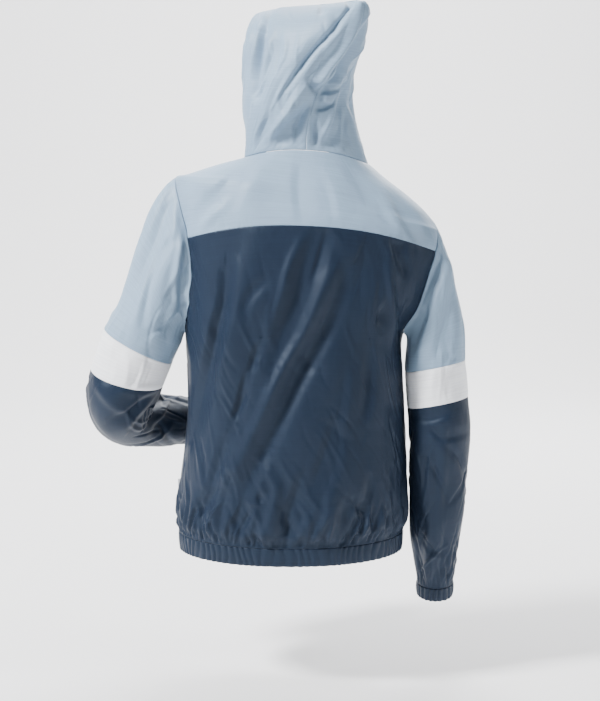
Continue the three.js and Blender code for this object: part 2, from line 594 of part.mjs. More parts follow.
async function zipSlider() {
  const wasm = await Module();
  wasm.setup();
  const block = ([x1, x2], [y1, y2], [z1, z2]) => {
    const box = new THREE.BoxGeometry(x2 - x1, y2 - y1, z2 - z1);
    box.translate((x1 + x2) / 2, (y1 + y2) / 2, (z1 + z2) / 2);
    const corners = box.getAttribute("position");
    const seen = new Map();
    const vertProperties = [];
    const triVerts = Array.from(box.index.array, (k) => {
      const xyz = [corners.getX(k), corners.getY(k), corners.getZ(k)];
      const name = xyz.join();
      if (!seen.has(name)) {
        seen.set(name, seen.size);
        vertProperties.push(...xyz);
      }
      return seen.get(name);
    });
    const mesh = new wasm.Mesh({
      numProp: 3,
      vertProperties: new Float32Array(vertProperties),
      triVerts: new Uint32Array(triVerts),
    });
    return new wasm.Manifold(mesh);
  };
  const wide = [-SLIDER.half, SLIDER.half];
  const thin = [-BRIDGE.half, BRIDGE.half];
  const tall = [SLIDER.low, SLIDER.high];
  const solid = block(wide, [-SLIDER.face, -SLIDER.skin], tall)
    .add(block([-TAPE_EDGE + 0.5, TAPE_EDGE - 0.5], [-SLIDER.skin - 0.2, SLIDER.backSkin + 0.2], [-1, 5]))
    .add(block(wide, [SLIDER.backSkin, SLIDER.back], tall))
    .add(block(thin, [-BRIDGE.top, -BRIDGE.under], [BRIDGE.low, BRIDGE.high]))
    .add(block(thin, [-BRIDGE.top, -SLIDER.face + 0.2], [BRIDGE.low, BRIDGE.low + BRIDGE.post]))
    .add(block(thin, [-BRIDGE.top, -SLIDER.face + 0.2], [BRIDGE.high - BRIDGE.post, BRIDGE.high]));
  const { vertProperties, triVerts } = solid.getMesh();
  return facingOut(Array.from(vertProperties), Array.from(triVerts));
}

function pullTab() {
  const { pivotZ, arm, hole, loopEnd, half, end, thick } = PULL;
  const bar = thick / 2;
  const outline = new THREE.Shape();
  outline.moveTo(-arm, pivotZ + bar);
  outline.lineTo(arm, pivotZ + bar);
  outline.lineTo(arm, loopEnd);
  outline.lineTo(half, loopEnd - 2);
  outline.lineTo(half, end + half);
  outline.absarc(0, end + half, half, 0, -Math.PI, true);
  outline.lineTo(-half, loopEnd - 2);
  outline.lineTo(-arm, loopEnd);
  outline.closePath();
  const slot = new THREE.Path();
  slot.moveTo(-hole, pivotZ - bar);
  slot.lineTo(-hole, loopEnd + 1);
  slot.lineTo(hole, loopEnd + 1);
  slot.lineTo(hole, pivotZ - bar);
  slot.closePath();
  outline.holes.push(slot);
  const plate = new THREE.ExtrudeGeometry(outline, { depth: thick, bevelEnabled: false, curveSegments: 8 });
  plate.translate(0, 0, -thick / 2);
  plate.rotateX(Math.PI / 2);
  plate.translate(0, -PULL.pivotY, 0);
  return plate;
}

// Materials: colour, roughness and metalness of each kind of piece
const paint = (color, roughness, metalness = 0) =>
  new THREE.MeshStandardMaterial({ color, roughness, metalness, side: THREE.DoubleSide });
const GREY_CLOTH = paint(0xa9b8c6, 0.5);
const NAVY_CLOTH = paint(0x2c3d55, 0.5);
const WHITE_CLOTH = paint(0xf1f3f7, 0.55);
const ZIP_TAPE = paint(0x232c3a, 0.8);
const ZIP_METAL = paint(0x8a8f96, 0.35, 0.9);

const jacket = new THREE.Group();

function addPiece(name, geometry, material, parent = jacket) {
  const mesh = new THREE.Mesh(geometry, material);
  mesh.name = name;
  parent.add(mesh);
  return mesh;
}

const panelGeometry = ({ outer, inner }) => wallGeometry(outer, inner);

// Body
const hem = hemBand();
addPiece("hem_band", panelGeometry(hem), NAVY_CLOTH);
const backPanel = (rings) => bodyPanel(rings, backEdge("right"), backEdge("left"), BACK_COLUMNS);
addPiece("back_body", panelGeometry(backPanel(LOWER_RINGS)), NAVY_CLOTH);
addPiece("back_yoke", panelGeometry(backPanel(UPPER_RINGS)), GREY_CLOTH);
for (const side of SIDES) {
  const lower = frontPanel(side, LOWER_RINGS);
  const upper = frontPanel(side, UPPER_RINGS);
  addPiece(`front_body_${side}`, panelGeometry(lower), NAVY_CLOTH);
  addPiece(`front_yoke_${side}`, panelGeometry(upper), GREY_CLOTH);
  addPiece(`zip_tape_${side}`, zipTape(side, [hem, lower, upper]), ZIP_TAPE);
}

// Hood and sleeves
for (const side of SIDES) {
  addPiece(`hood_${side}`, hoodHalf(side), GREY_CLOTH);
  const [bandTop, bandEnd, cuffTop] = ["bandTop", "bandEnd", "cuffTop"].map((name) => stationAt(side, name));
  addPiece(`sleeve_upper_${side}`, sleevePiece(side, 0, bandTop, 8), GREY_CLOTH);
  addPiece(`sleeve_band_${side}`, sleevePiece(side, bandTop, bandEnd, 2), WHITE_CLOTH);
  addPiece(`sleeve_lower_${side}`, sleevePiece(side, bandEnd, cuffTop, 12), NAVY_CLOTH);
  addPiece(`cuff_${side}`, cuff(side), NAVY_CLOTH);
}

// Zip slider and pull tab, leaning with the cloth that they stand on
const seat = bodyPoint(Math.PI, SLIDER_RING);
const above = bodyPoint(Math.PI, SLIDER_RING + 6);
const below = bodyPoint(Math.PI, SLIDER_RING - 6);
const slant = above.clone().sub(below).normalize();
const zip = new THREE.Group();
zip.position.copy(seat);
zip.rotation.x = Math.atan2(-slant.y, slant.z);
addPiece("zip_slider", await zipSlider(), ZIP_METAL, zip);
addPiece("zip_pull", pullTab(), ZIP_METAL, zip);
jacket.add(zip);

// A small blank label held in the left side seam
const labelSeat = bodyPoint(Math.PI / 2, LABEL.ring);
const label = new THREE.BoxGeometry(LABEL.wide, LABEL.thick, LABEL.high);
const labelMesh = addPiece("side_label", label, WHITE_CLOTH);
labelMesh.position.set(labelSeat.x + 3 * SEAM + LABEL.wide / 2, labelSeat.y, labelSeat.z);

export default jacket;
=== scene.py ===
"""Studio scene of a hooded windbreaker jacket, worn and empty.

Each cut piece of cloth is a thin shell over its own solid, with the folds laid along its surface.
Lengths in the tables are millimetres in the jacket's frame: +Z up, -Y out of the front, +X towards the
wearer's left. The tables follow the part's own source.
"""
import logging
import math
from dataclasses import dataclass
from enum import Enum
from typing import Callable

import bpy
import numpy as np
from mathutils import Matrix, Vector


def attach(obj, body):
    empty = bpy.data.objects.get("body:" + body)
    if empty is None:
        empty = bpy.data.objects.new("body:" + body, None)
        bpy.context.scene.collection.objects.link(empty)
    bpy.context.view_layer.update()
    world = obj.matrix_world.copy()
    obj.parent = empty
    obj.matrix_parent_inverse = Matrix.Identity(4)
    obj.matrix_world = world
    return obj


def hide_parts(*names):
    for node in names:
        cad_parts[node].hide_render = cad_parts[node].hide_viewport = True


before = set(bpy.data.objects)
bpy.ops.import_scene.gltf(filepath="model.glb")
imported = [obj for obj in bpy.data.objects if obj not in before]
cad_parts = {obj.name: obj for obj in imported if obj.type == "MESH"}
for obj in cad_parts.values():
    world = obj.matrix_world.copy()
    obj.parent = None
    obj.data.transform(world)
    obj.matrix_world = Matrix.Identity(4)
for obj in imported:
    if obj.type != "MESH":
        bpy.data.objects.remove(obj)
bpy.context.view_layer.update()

LOG = logging.getLogger("jacket")
MM = 0.001
BODY_NAME = "jacket"
SQUARE = 0.88  # power of sine and cosine in a ring, under 1 for a squarer ring
NECK, TIP, UNDERARM, HEM_SEAM, HEM_END = -13.0, -77.0, -290.0, -613.0, -641.0
YOKE_TURN = math.radians(72)  # the yoke seam's place on the armhole
LOOP_MIDDLE, LOOP_HALF = (TIP + UNDERARM) / 2, (TIP - UNDERARM) / 2
YOKE = LOOP_MIDDLE + LOOP_HALF * math.cos(YOKE_TURN)
HALF_SEAM = 0.12  # from the middle of a seam to the cloth's edge
HALF_ZIP = 5.0  # from the middle of the front to the edge of a front
WALL = 0.9
TAPE_WALL, LABEL_WALL = 0.6, 0.25
RIM = (0.8, 2.2)  # places close inside an edge, where the cloth turns into a seam
SLEEVE_RADIUS, CUFF_RADIUS = 52, 32  # at which a turn round the sleeve is counted in millimetres

Array = np.ndarray
Surface = Callable[[Array, Array], Array]
Triple = tuple[float, float, float]


class Side(Enum):
    """A side of the wearer."""

    LEFT = "left"
    RIGHT = "right"

    @property
    def sign(self) -> int:
        """+1 on the wearer's left, where X is positive, and -1 on the right."""
        return 1 if self is Side.LEFT else -1


def smooth(value: Array) -> Array:
    """Eased step from 0 to 1."""
    held = np.clip(value, 0, 1)
    return held * held * (3 - 2 * held)


def mix(start: Array, end: Array, share: Array) -> Array:
    """Value between two others."""
    return start + (end - start) * share


def powered(value: Array) -> Array:
    """Signed power that squares off a ring."""
    return np.sign(value) * np.abs(value) ** SQUARE


def unit(vectors: Array) -> Array:
    """Vectors scaled to length 1."""
    return vectors / np.maximum(np.linalg.norm(vectors, axis=-1, keepdims=True), 1e-9)


def noise(x: Array, y: Array, seed: int, period: int = 0) -> Array:
    """Smooth random height between -1 and 1.

    Args:
        x: First coordinate, in cells.
        y: Second coordinate, in cells.
        seed: Fixed seed.
        period: Number of cells after which x repeats, or 0.

    Returns:
        The height at each place.
    """
    column, row = np.floor(x), np.floor(y)
    right, up = x - column, y - row
    ease_x, ease_y = (t * t * t * (t * (t * 6 - 15) + 10) for t in (right, up))

    def corner(step_x: int, step_y: int) -> Array:
        """Height that one corner of the cell gives.

        Args:
            step_x: 0 for the cell's left corners, 1 for the right ones.
            step_y: 0 for its lower corners, 1 for the upper ones.

        Returns:
            The height at each place.
        """
        i = (column + step_x).astype(np.int64)
        j = (row + step_y).astype(np.int64)
        if period:
            i = i % period
        mixed = (i * 374761393 + j * 668265263 + seed * 362437) & 0xFFFFFFFF
        mixed = ((mixed ^ (mixed >> 13)) * 1274126177) & 0xFFFFFFFF
        turn = ((mixed ^ (mixed >> 16)) & 0xFFFF) / 65536 * 2 * np.pi
        return np.cos(turn) * (right - step_x) + np.sin(turn) * (up - step_y)

    low = mix(corner(0, 0), corner(1, 0), ease_x)
    high = mix(corner(0, 1), corner(1, 1), ease_x)
    return 1.5 * mix(low, high, ease_y)


def tent(reach: Array) -> Array:
    """Height of a crease: flat sides that meet in a narrow round, 1 at its line and 0 past 1."""
    side = 1.1 - np.sqrt(reach * reach + 0.0144)
    return 0.5 * (side + np.sqrt(side * side + 0.010))


class Table:
    """Rows of numbers read at any value of the first column, with a cubic curve through them."""

    def __init__(self, columns: str, rows: list[tuple[float, ...]]) -> None:
        """Keeps the rows.

        Args:
            columns: Names of the columns, separated by spaces.
            rows: One tuple a row, in rising order of its first number.
        """
        self.columns = columns.split()
        self.rows = np.array(rows, float)

    def at(self, values: Array) -> dict[str, Array]:
        """Reads every column.

        Args:
            values: Places in the first column.

        Returns:
            Each column's values by name.
        """
        keys = self.rows[:, 0]
        last = len(keys) - 1
        a = np.clip(np.searchsorted(keys, values, side="right") - 1, 0, last - 1)
        b, before, after = a + 1, np.maximum(a - 1, 0), np.minimum(a + 2, last)
        span = keys[b] - keys[a]
        t = (values - keys[a]) / span
        read = {}
        for index, name in enumerate(self.columns):
            column = self.rows[:, index]
            slope_a = (column[b] - column[before]) / (keys[b] - keys[before]) * span
            slope_b = (column[after] - column[a]) / (keys[after] - keys[a]) * span
            rise = column[b] - column[a]
            read[name] = (
                column[a] + t * slope_a + t**2 * (3 * rise - 2 * slope_a - slope_b)
                + t**3 * (slope_a + slope_b - 2 * rise)
            )
        return read


RING = "half deepBack deepFront x y tilt"
BODY_RINGS = Table(f"side back front {RING}", [
    (-641, -649, -645, 181, 109, 106, 23, 2, 0),
    (-613, -621, -617, 183, 111, 108, 23, 2, 0),
    (-592, -599, -596, 189, 119, 116, 21, 1, 0),
    (-540, -545, -545, 186, 121, 120, 18, 0, 0),
    (-440, -442, -445, 177, 119, 121, 14, 0, 0),
    (-340, -338, -345, 174, 119, 123, 16, 0, 0),
    (-290, -284, -297, 178, 120, 123, 16, 0, 0.01),
    (-225, -205, -236, 197, 121, 118, 1, 0, 0.03),
    (-148, -109, -166, 212, 114, 108, -8, -1, 0.05),
    (-102, -78, -142, 213, 106, 101, -5, -3, 0.12),
    (-77, -61, -128, 208, 101, 96, -1, -5, 0.178),
    (-64, -48, -118, 190, 95, 91, -1, -6, 0.15),
    (-46, -30, -105, 160, 86, 84, -2, -7, 0.127),
    (-28, -12, -91, 126, 76, 75, -2, -8, 0.1),
    (-13, 4, -79, 99, 68, 68, -2, -8, 0.05),
])
HOOD_RINGS = Table(f"up side back front {RING} open yaw", [
    (0, -13, 4, -79, 99, 68, 68, -2, -8, 0.05, 180, 0),
    (0.1, 14, 24, -42, 95, 74, 76, 2, -9, 0.04, 160, 3),
    (0.22, 48, 52, 10, 90, 84, 86, 8, -10, 0.02, 137, 10),
    (0.36, 88, 88, 70, 87, 90, 91, 12, -12, 0, 124, 20),
    (0.5, 128, 128, 119, 85, 97, 94, 11, -13, 0, 120, 33),
    (0.64, 164, 165, 158, 82, 109, 97, 8, -14, 0, 124, 43),
    (0.76, 192, 195, 186, 74, 117, 98, 4, -15, 0, 132, 48),
    (0.87, 213, 218, 205, 56, 119, 101, 2, -15, 0, 140, 50),
    (0.95, 226, 231, 217, 31, 116, 103, 1, -15, 0, 146, 51),
    (1, 232, 236, 223, 0, 105, 103, 1, -15, 0, 150, 51),
])
STATION = "x y z across deep lean"
# Rows: underarm, band top, band end, four at the elbow and forearm, wrist, cuff top and cuff end
SLEEVE_STATIONS = {
    Side.LEFT: [
        (253, 0, -277, 60, 68, 2),
        (270, 0, -310, 62, 64, 5),
        (289, -3, -363, 60, 60, -5),
        (302, -14, -401, 57, 56, 0),
        (296, -50, -431, 50, 52, 0),
        (259, -92, -447, 42, 46, 0),
        (212, -128, -456, 37, 41, 0),
        (160, -166, -462, 35, 37, 0),
        (133, -185, -465, 29, 32, 0),
        (111, -201, -467, 28, 31, 0),
    ],
    Side.RIGHT: [
        (-211, 2, -320, 48, 66, 5),
        (-211, 4, -343, 50, 63, 9),
        (-215, 8, -402, 50, 60, 7),
        (-218, 10, -438, 50, 57, 3),
        (-218, 8, -478, 49, 55, 0),
        (-217, 2, -530, 47, 52, 0),
        (-215, -6, -596, 44, 48, 0),
        (-216, -16, -660, 37, 41, 0),
        (-216, -24, -708, 30, 32, 0),
        (-216, -28, -730, 29, 31, 0),
    ],
}


def ring_point(ring: dict[str, Array], angle: Array) -> Array:
    """Point of a ring of the body or the hood.

    Args:
        ring: The ring's sizes.
        angle: Angle from the middle of the back, positive to the wearer's left.

    Returns:
        The points, with x, y and z along the last axis.
    """
    s, c = np.sin(angle), np.cos(angle)
    across = ring["half"] * powered(s)
    along = np.where(c > 0, ring["deepBack"], ring["deepFront"]) * powered(c)
    height = ring["side"] + (np.where(c > 0, ring["back"], ring["front"]) - ring["side"]) * c * c
    yaw = np.radians(ring.get("yaw", 0.0) * np.ones_like(s))
    return np.stack([
        ring["x"] + across * np.cos(yaw) - along * np.sin(yaw),
        ring["y"] + across * np.sin(yaw) + along * np.cos(yaw),
        height + ring["tilt"] * across,
    ], axis=-1)


def normal_of(surface: Surface, p: Array, q: Array, step_p: float, step_q: float, sign: float) -> Array:
    """Outward normal of a surface given by two values.

    Args:
        surface: Function from the two values to a point.
        p: First value.
        q: Second value.
        step_p: Small step in p.
        step_q: Small step in q.
        sign: +1 or -1, which way the normal faces.

    Returns:
        Unit normals.
    """
    along_p = surface(p + step_p, q) - surface(p - step_p, q)
    along_q = surface(p, q + step_q) - surface(p, q - step_q)
    return sign * unit(np.cross(along_p, along_q))


@dataclass(frozen=True)
class Fold:
    """A fold in the cloth along a given line, seen square on from behind the jacket."""

    width: float
    depth: float
    path: tuple[tuple[float, float], ...]

    def lift(self, x: Array, z: Array) -> Array:
        """Height of the fold, positive outwards, steeper on its lower left side.

        Args:
            x: Places across.
            z: Heights.

        Returns:
            The height at each place.
        """
        knots = np.array(self.path, float)
        key = np.arange(len(knots))
        line = Table("k x z", [(k, *knot) for k, knot in zip(key, knots)])
        fine = line.at(np.linspace(0, key[-1], 4 * key[-1] + 1))
        px, pz = fine["x"], fine["z"]
        best = np.full(x.shape, 1e9)
        side, place = np.zeros(x.shape), np.zeros(x.shape)
        for k in range(len(px) - 1):
            dx, dz = px[k + 1] - px[k], pz[k + 1] - pz[k]
            t = np.clip(((x - px[k]) * dx + (z - pz[k]) * dz) / (dx * dx + dz * dz), 0, 1)
            off_x, off_z = x - px[k] - dx * t, z - pz[k] - dz * t
            gap = np.hypot(off_x, off_z)
            near = gap < best
            best = np.where(near, gap, best)
            side = np.where(near, np.sign(dx * off_z - dz * off_x), side)
            place = np.where(near, (k + t) / (len(px) - 1), place)
        reach = best / (self.width * (1 - 0.4 * side))
        ends = np.sin(np.pi * mix(0.05, 0.95, place)) ** 0.7
        soft = smooth((self.width - 6) / 10)
        shape = mix(tent(reach / 1.9), np.exp(-((reach / 1.35) ** 2)), 0.45 * soft)
        return self.depth * ends * shape


BACK_FOLDS = (
    Fold(18, -5.2, ((-22, -128), (2, -177), (13, -222), (30, -271), (51, -343))),
    Fold(9, 2.0, ((0, -134), (23, -177), (36, -225), (53, -279))),
    Fold(6, -2.2, ((-36, -125), (-21, -177), (-11, -206))),
    Fold(20, -7.0, (
        (-73, -186), (-48, -238), (-32, -277), (-5, -327),
        (16, -364), (45, -433), (84, -520), (104, -564)
    )),
    Fold(13, 4.0, (
        (-40, -198), (-18, -246), (2, -295), (28, -339), (53, -387), (83, -452), (112, -514)
    )),
    Fold(15, 3.2, (
        (-76, -238), (-57, -287), (-28, -339), (0, -392), (28, -452), (60, -520), (81, -570)
    )),
    Fold(8, -1.6, ((63, -202), (84, -220), (96, -241), (97, -262))),
    Fold(8, 1.3, ((53, -212), (73, -232), (83, -251), (84, -274))),
    Fold(9, -5.0, ((130, -186), (134, -238), (146, -287), (157, -335), (167, -376), (183, -465))),
    Fold(13, 3.5, ((105, -177), (112, -238), (122, -295), (131, -343), (144, -400), (160, -481))),
    Fold(7, -2.6, ((76, -311), (83, -332), (89, -355))),
    Fold(7, -2.4, ((75, -350), (87, -381), (105, -411), (118, -436))),
    Fold(5, -2.2, ((96, -355), (105, -392), (115, -429))),
    Fold(7, 2.6, ((70, -322), (78, -355), (92, -394), (109, -426))),
    Fold(8, -3.2, ((131, -462), (141, -497), (151, -530), (162, -559), (170, -578))),
    Fold(9, 2.6, ((112, -465), (123, -501), (134, -536), (147, -570))),
    Fold(8, -4.0, ((-147, -198), (-152, -238), (-156, -279), (-154, -319))),
    Fold(6, -2.6, ((-138, -131), (-146, -152), (-151, -173), (-159, -188), (-164, -198))),
    Fold(7, 3.0, ((-134, -177), (-139, -222), (-141, -271), (-139, -322))),
    Fold(6, -3.2, ((-128, -246), (-123, -262), (-117, -277))),
    Fold(12, 3.2, ((-117, -271), (-115, -319), (-113, -400), (-102, -449))),
    Fold(10, -2.4, ((-104, -319), (-102, -376), (-99, -433))),
    Fold(10, 2.0, ((-76, -339), (-73, -400), (-63, -465))),
    Fold(6, -2.6, ((-76, -559), (-86, -577), (-97, -593))),
    Fold(8, 2.4, ((-8, -591), (2, -616), (11, -640))),
    Fold(6, -2.2, ((-94, -578), (-99, -593), (-102, -608))),
    Fold(5, -2.0, ((76, -556), (75, -564), (73, -572))),
    Fold(8, -2.8, ((138, -536), (152, -557), (167, -578), (183, -591))),
    Fold(10, 2.4, ((32, -514), (47, -562), (60, -611), (70, -637))),
    Fold(9, -2.6, ((8, -530), (21, -570), (34, -611), (42, -637))),
    Fold(9, 2.2, ((-40, -546), (-37, -586), (-28, -635))),
    Fold(8, -2.4, ((-65, -570), (-60, -603), (-53, -637))),
    Fold(9, -2.2, ((105, -570), (112, -603), (117, -635))),
    Fold(8, 2.0, ((89, -578), (94, -611), (99, -637))),
    Fold(9, 2.4, ((-130, -530), (-131, -570), (-125, -619))),
    Fold(8, -2.2, ((-147, -514), (-149, -562), (-144, -611))),
    Fold(10, -1.8, ((-49, -433), (-32, -489), (-11, -554))),
    Fold(12, 1.6, ((-73, -465), (-60, -522), (-40, -578))),
)
YOKE_FOLDS = (
    Fold(7, -2.0, ((178, -117), (160, -97), (146, -84), (134, -76))),
    Fold(7, 1.6, ((165, -123), (149, -102), (131, -89))),
    Fold(7, -1.8, ((-138, -68), (-157, -105), (-173, -134), (-186, -157))),
    Fold(8, 1.6, ((-125, -76), (-144, -112), (-160, -141))),
    Fold(10, -1.6, ((8, -19), (11, -60), (5, -109))),
    Fold(12, 1.4, ((65, -24), (89, -60), (105, -100))),
    Fold(12, -1.4, ((-65, -19), (-89, -52), (-109, -84))),
    Fold(10, 1.4, ((-32, -28), (-49, -68), (-57, -112))),
    Fold(8, -1.5, ((118, -36), (134, -57), (162, -76))),
)
HOOD_FOLDS = (
    Fold(4, -2.6, ((-76, 241), (-65, 220), (-38, 188), (-15, 162), (10, 132), (33, 99), (53, 63))),
    Fold(5, 2.0, ((-81, 235), (-70, 214), (-44, 181), (-19, 156), (5, 125), (28, 92))),
    Fold(10, -2.2, ((-26, 180), (-5, 156), (15, 123))),
    Fold(10, 6.0, ((-96, 230), (-76, 194), (-57, 159), (-37, 126), (-28, 109))),
    Fold(5, -7.0, ((-102, 211), (-78, 177), (-57, 144), (-47, 120), (-24, 99), (-15, 73))),
    Fold(8, 3.6, ((-6, 114), (10, 91), (33, 55), (57, 19))),
    Fold(10, -5.5, ((-15, 76), (3, 62), (28, 42), (53, 15))),
    Fold(3.5, -4.0, ((-5, 113), (-10, 104), (-17, 94), (-15, 75))),
    Fold(4, 3.0, ((-21, 110), (-32, 113), (-45, 122))),
    Fold(4, -3.2, ((-23, 94), (-44, 96), (-63, 102))),
    Fold(4, 2.2, ((-19, 81), (-36, 79), (-50, 81))),
    Fold(4, -3.0, ((-18, 68), (-36, 71), (-55, 86))),
    Fold(8, -5.0, ((-73, 138), (-68, 105), (-62, 81), (-50, 52), (-32, 13))),
    Fold(6, 3.2, ((-53, 70), (-40, 45), (-26, 21))),
    Fold(4, -3.4, ((-13, 57), (-14, 34), (-15, 10))),
    Fold(5, -2.8, ((-76, 81), (-83, 55), (-92, 19))),
    Fold(4, 1.8, ((-62, 130), (-70, 112), (-76, 91))),
    Fold(6, -3.2, ((49, 180), (55, 156), (63, 132), (75, 99))),
    Fold(4, -3.6, ((53, 224), (69, 173), (81, 123), (85, 91))),
    Fold(4, 2.8, ((63, 215), (78, 170), (87, 126))),
    Fold(3, -3.0, ((81, 198), (90, 159), (91, 117))),
    Fold(3, -2.6, ((66, 202), (74, 150), (80, 110), (83, 82))),
    Fold(3, -2.4, ((69, 109), (75, 97), (81, 83))),
    Fold(6, -2.6, ((57, 61), (69, 37), (79, 8))),
    Fold(4, -2.6, ((-29, 238), (-26, 230), (-21, 217))),
    Fold(4, -2.2, ((-65, 241), (-68, 233), (-70, 224))),
    Fold(5, -1.8, ((8, 53), (15, 31), (13, 8))),
    Fold(5, -1.8, ((-70, 66), (-65, 37), (-66, 8))),
)
LEFT_SLEEVE_FOLDS = (
    Fold(9, -3.0, ((211, -60), (235, -117), (264, -181), (300, -271))),
    Fold(10, 2.5, ((196, -68), (222, -128), (251, -198), (284, -284))),
    Fold(7, -2.0, ((227, -125), (243, -181), (267, -287))),
    Fold(6, -3.5, ((183, -125), (193, -165), (199, -214), (198, -254))),
    Fold(7, 3.0, ((193, -117), (202, -165), (211, -222))),
    Fold(6, -2.5, ((186, -177), (206, -206), (225, -238))),
    Fold(6, -2.5, ((190, -238), (209, -267), (235, -290))),
    Fold(6, 2.0, ((193, -267), (212, -295), (219, -319))),
    Fold(5, -1.6, ((251, -295), (235, -284), (219, -271))),
    Fold(6, 1.8, ((202, -76), (209, -125), (215, -177))),
    Fold(7, -3.5, ((227, -381), (254, -400), (284, -420), (316, -433))),
    Fold(6, -3.0, ((225, -387), (251, -420), (284, -452))),
    Fold(6, 2.5, ((235, -377), (267, -381), (303, -387))),
    Fold(6, -2.5, ((211, -392), (227, -424), (251, -462))),
    Fold(8, 2.5, ((340, -376), (316, -403), (292, -424))),
    Fold(5, 2.0, ((219, -400), (228, -420), (238, -439))),
    Fold(5, -1.5, ((251, -319), (254, -335), (258, -348))),
    Fold(6, -1.2, ((300, -300), (305, -319), (309, -339))),
)
RIGHT_SLEEVE_FOLDS = (
    Fold(8, -4.5, ((-219, -149), (-199, -206), (-177, -267), (-157, -319))),
    Fold(7, 4.0, ((-212, -190), (-190, -243), (-160, -295))),
    Fold(8, 3.0, ((-228, -181), (-212, -238), (-193, -295), (-173, -339))),
    Fold(8, -2.0, ((-235, -206), (-225, -271), (-212, -332))),
    Fold(5, -2.5, ((-202, -177), (-186, -222), (-170, -258))),
    Fold(8, 1.6, ((-243, -238), (-245, -287), (-243, -329))),
    Fold(6, -1.5, ((-186, -343), (-185, -371), (-183, -400))),
    Fold(7, -1.3, ((-227, -339), (-230, -368), (-232, -394))),
    Fold(6, 1.3, ((-209, -342), (-207, -368), (-207, -397))),
    Fold(7, -2.2, ((-173, -424), (-202, -433), (-238, -420))),
    Fold(6, -1.8, ((-202, -449), (-228, -465), (-258, -458))),
    Fold(9, 2.2, ((-183, -465), (-186, -530), (-196, -595))),
    Fold(9, -2.0, ((-235, -465), (-238, -530), (-228, -595))),
    Fold(8, -1.8, ((-212, -481), (-215, -546), (-209, -611))),
    Fold(5, -2.0, ((-194, -635), (-212, -653), (-227, -659))),
    Fold(6, 1.8, ((-206, -595), (-202, -643), (-199, -692))),
    Fold(6, -1.8, ((-232, -611), (-228, -651), (-222, -695))),
    Fold(6, -1.6, ((-183, -627), (-186, -659), (-193, -698))),
)

EYE = np.array([8.0, 2800.0, 30.0])  # from where the folds of the back were laid
BACK_DEPTH, FRONT_DEPTH = 2.05, 1.6  # scale of the laid folds on either side
FRONT_SHIFT = (9, 14)  # how far the front's folds are moved across and down


def seen_square_on(points: Array) -> tuple[Array, Array]:
    """Where points appear on the upright plane through the neckline, seen from behind.

    Args:
        points: Points on the jacket.

    Returns:
        Their places across and up that plane.
    """
    share = EYE[1] / (EYE[1] - points[..., 1])
    return EYE[0] + (points[..., 0] - EYE[0]) * share, EYE[2] + (points[..., 2] - EYE[2]) * share


def laid_folds(folds: tuple[Fold, ...], points: Array, normals: Array, mirror: float) -> Array:
    """Folds on the side that faces back, and similar ones on the side that faces front.

    Args:
        folds: The folds, laid on the side that faces back.
        points: Points on the smooth form.
        normals: Their outward normals.
        mirror: Place across of the line about which the front's folds are mirrored.

    Returns:
        The height at each point.
    """
    x, z = seen_square_on(points)
    facing = smooth((normals[..., 1] + 0.12) / 0.34)
    back = sum(fold.lift(x, z) for fold in folds)
    across, height = 2 * mirror - points[..., 0] + FRONT_SHIFT[0], points[..., 2] + FRONT_SHIFT[1]
    front = sum(fold.lift(across, height) for fold in folds)
    return BACK_DEPTH * facing * back + FRONT_DEPTH * (1 - facing) * front


@dataclass(frozen=True)
class Creases:
    """A family of short straight creases, scattered over a piece of cloth.

    Sizes come in pairs, the smallest and the largest. Creases start at places that follow one another at a
    pitch in the first direction. Where the family is drawn from a seam, they rise from it in the second.
    """

    seed: int
    pitch: tuple[float, float]
    long: tuple[float, float]
    width: tuple[float, float]
    depth: tuple[float, float]
    lean: tuple[float, float]
    rise: tuple[float, float] = (0.0, 0.0)

    def over(self, u: Array, v: Array, start: float, end: float, closed: bool = False) -> Array:
        """Height of the family.

        Args:
            u: Distance along the seam, or across the cloth.
            v: Distance from the seam, or along the cloth.
            start: Where the family starts in u.
            end: Where it ends.
            closed: Whether u comes round again after its end.

        Returns:
            The height at each place.
        """
        rng = np.random.default_rng(self.seed)
        total, place = np.zeros(np.broadcast(u, v).shape), start
        while place < end:
            place += rng.uniform(*self.pitch)
            size = rng.beta(1.6, 1.6)
            long, width = mix(*self.long, size), mix(*self.width, rng.uniform())
            depth, lean = mix(*self.depth, rng.uniform()), math.radians(rng.uniform(*self.lean))
            low, bow = rng.uniform(*self.rise), rng.uniform(-0.12, 0.12) * long
            off = u - place
            if closed:
                off = (off + (end - start) / 2) % (end - start) - (end - start) / 2
            up = v - low
            along = (up * math.cos(lean) + off * math.sin(lean)) / long
            across = off * math.cos(lean) - up * math.sin(lean) - bow * 4 * along * (1 - along)
            near = (along > 0) & (along < 1) & (np.abs(across) < 2.5 * width)
            share = np.clip(along[near], 0, 1)
            spread = width * mix(0.75, 1.3, share)
            window = np.sin(np.pi * mix(0.06, 1, share)) ** 0.8 * (1 - 0.35 * share)
            total[near] += depth * window * tent(across[near] / spread)
        return total


# Gathers above an elastic seam, from the shortest to the longest
GATHERS = (
    Creases(40, (4.5, 8.5), (12, 30), (2.4, 3.4), (-1.6, -0.8), (-14, 14), (-2, 1)),
    Creases(41, (9, 19), (30, 78), (3.6, 6.0), (-3.4, -1.6), (-30, 26), (-2, 4)),
    Creases(42, (12, 30), (34, 80), (4.0, 7.0), (1.0, 2.4), (-30, 26), (2, 12)),
    Creases(43, (34, 62), (70, 140), (7, 12), (-4.5, -2.5), (-34, 20), (0, 16)),
)
YOKE_PUCKERS = Creases(50, (8, 17), (9, 22), (1.8, 2.8), (-0.8, -0.3), (-16, 16), (-9, -2))
CAP_PUCKERS = (
    Creases(60, (6, 13), (14, 36), (2.2, 3.6), (-1.5, -0.6), (-14, 14), (0, 2)),
    Creases(61, (16, 34), (40, 110), (4, 8), (-2.6, -1.2), (-16, 16), (1, 8)),
)
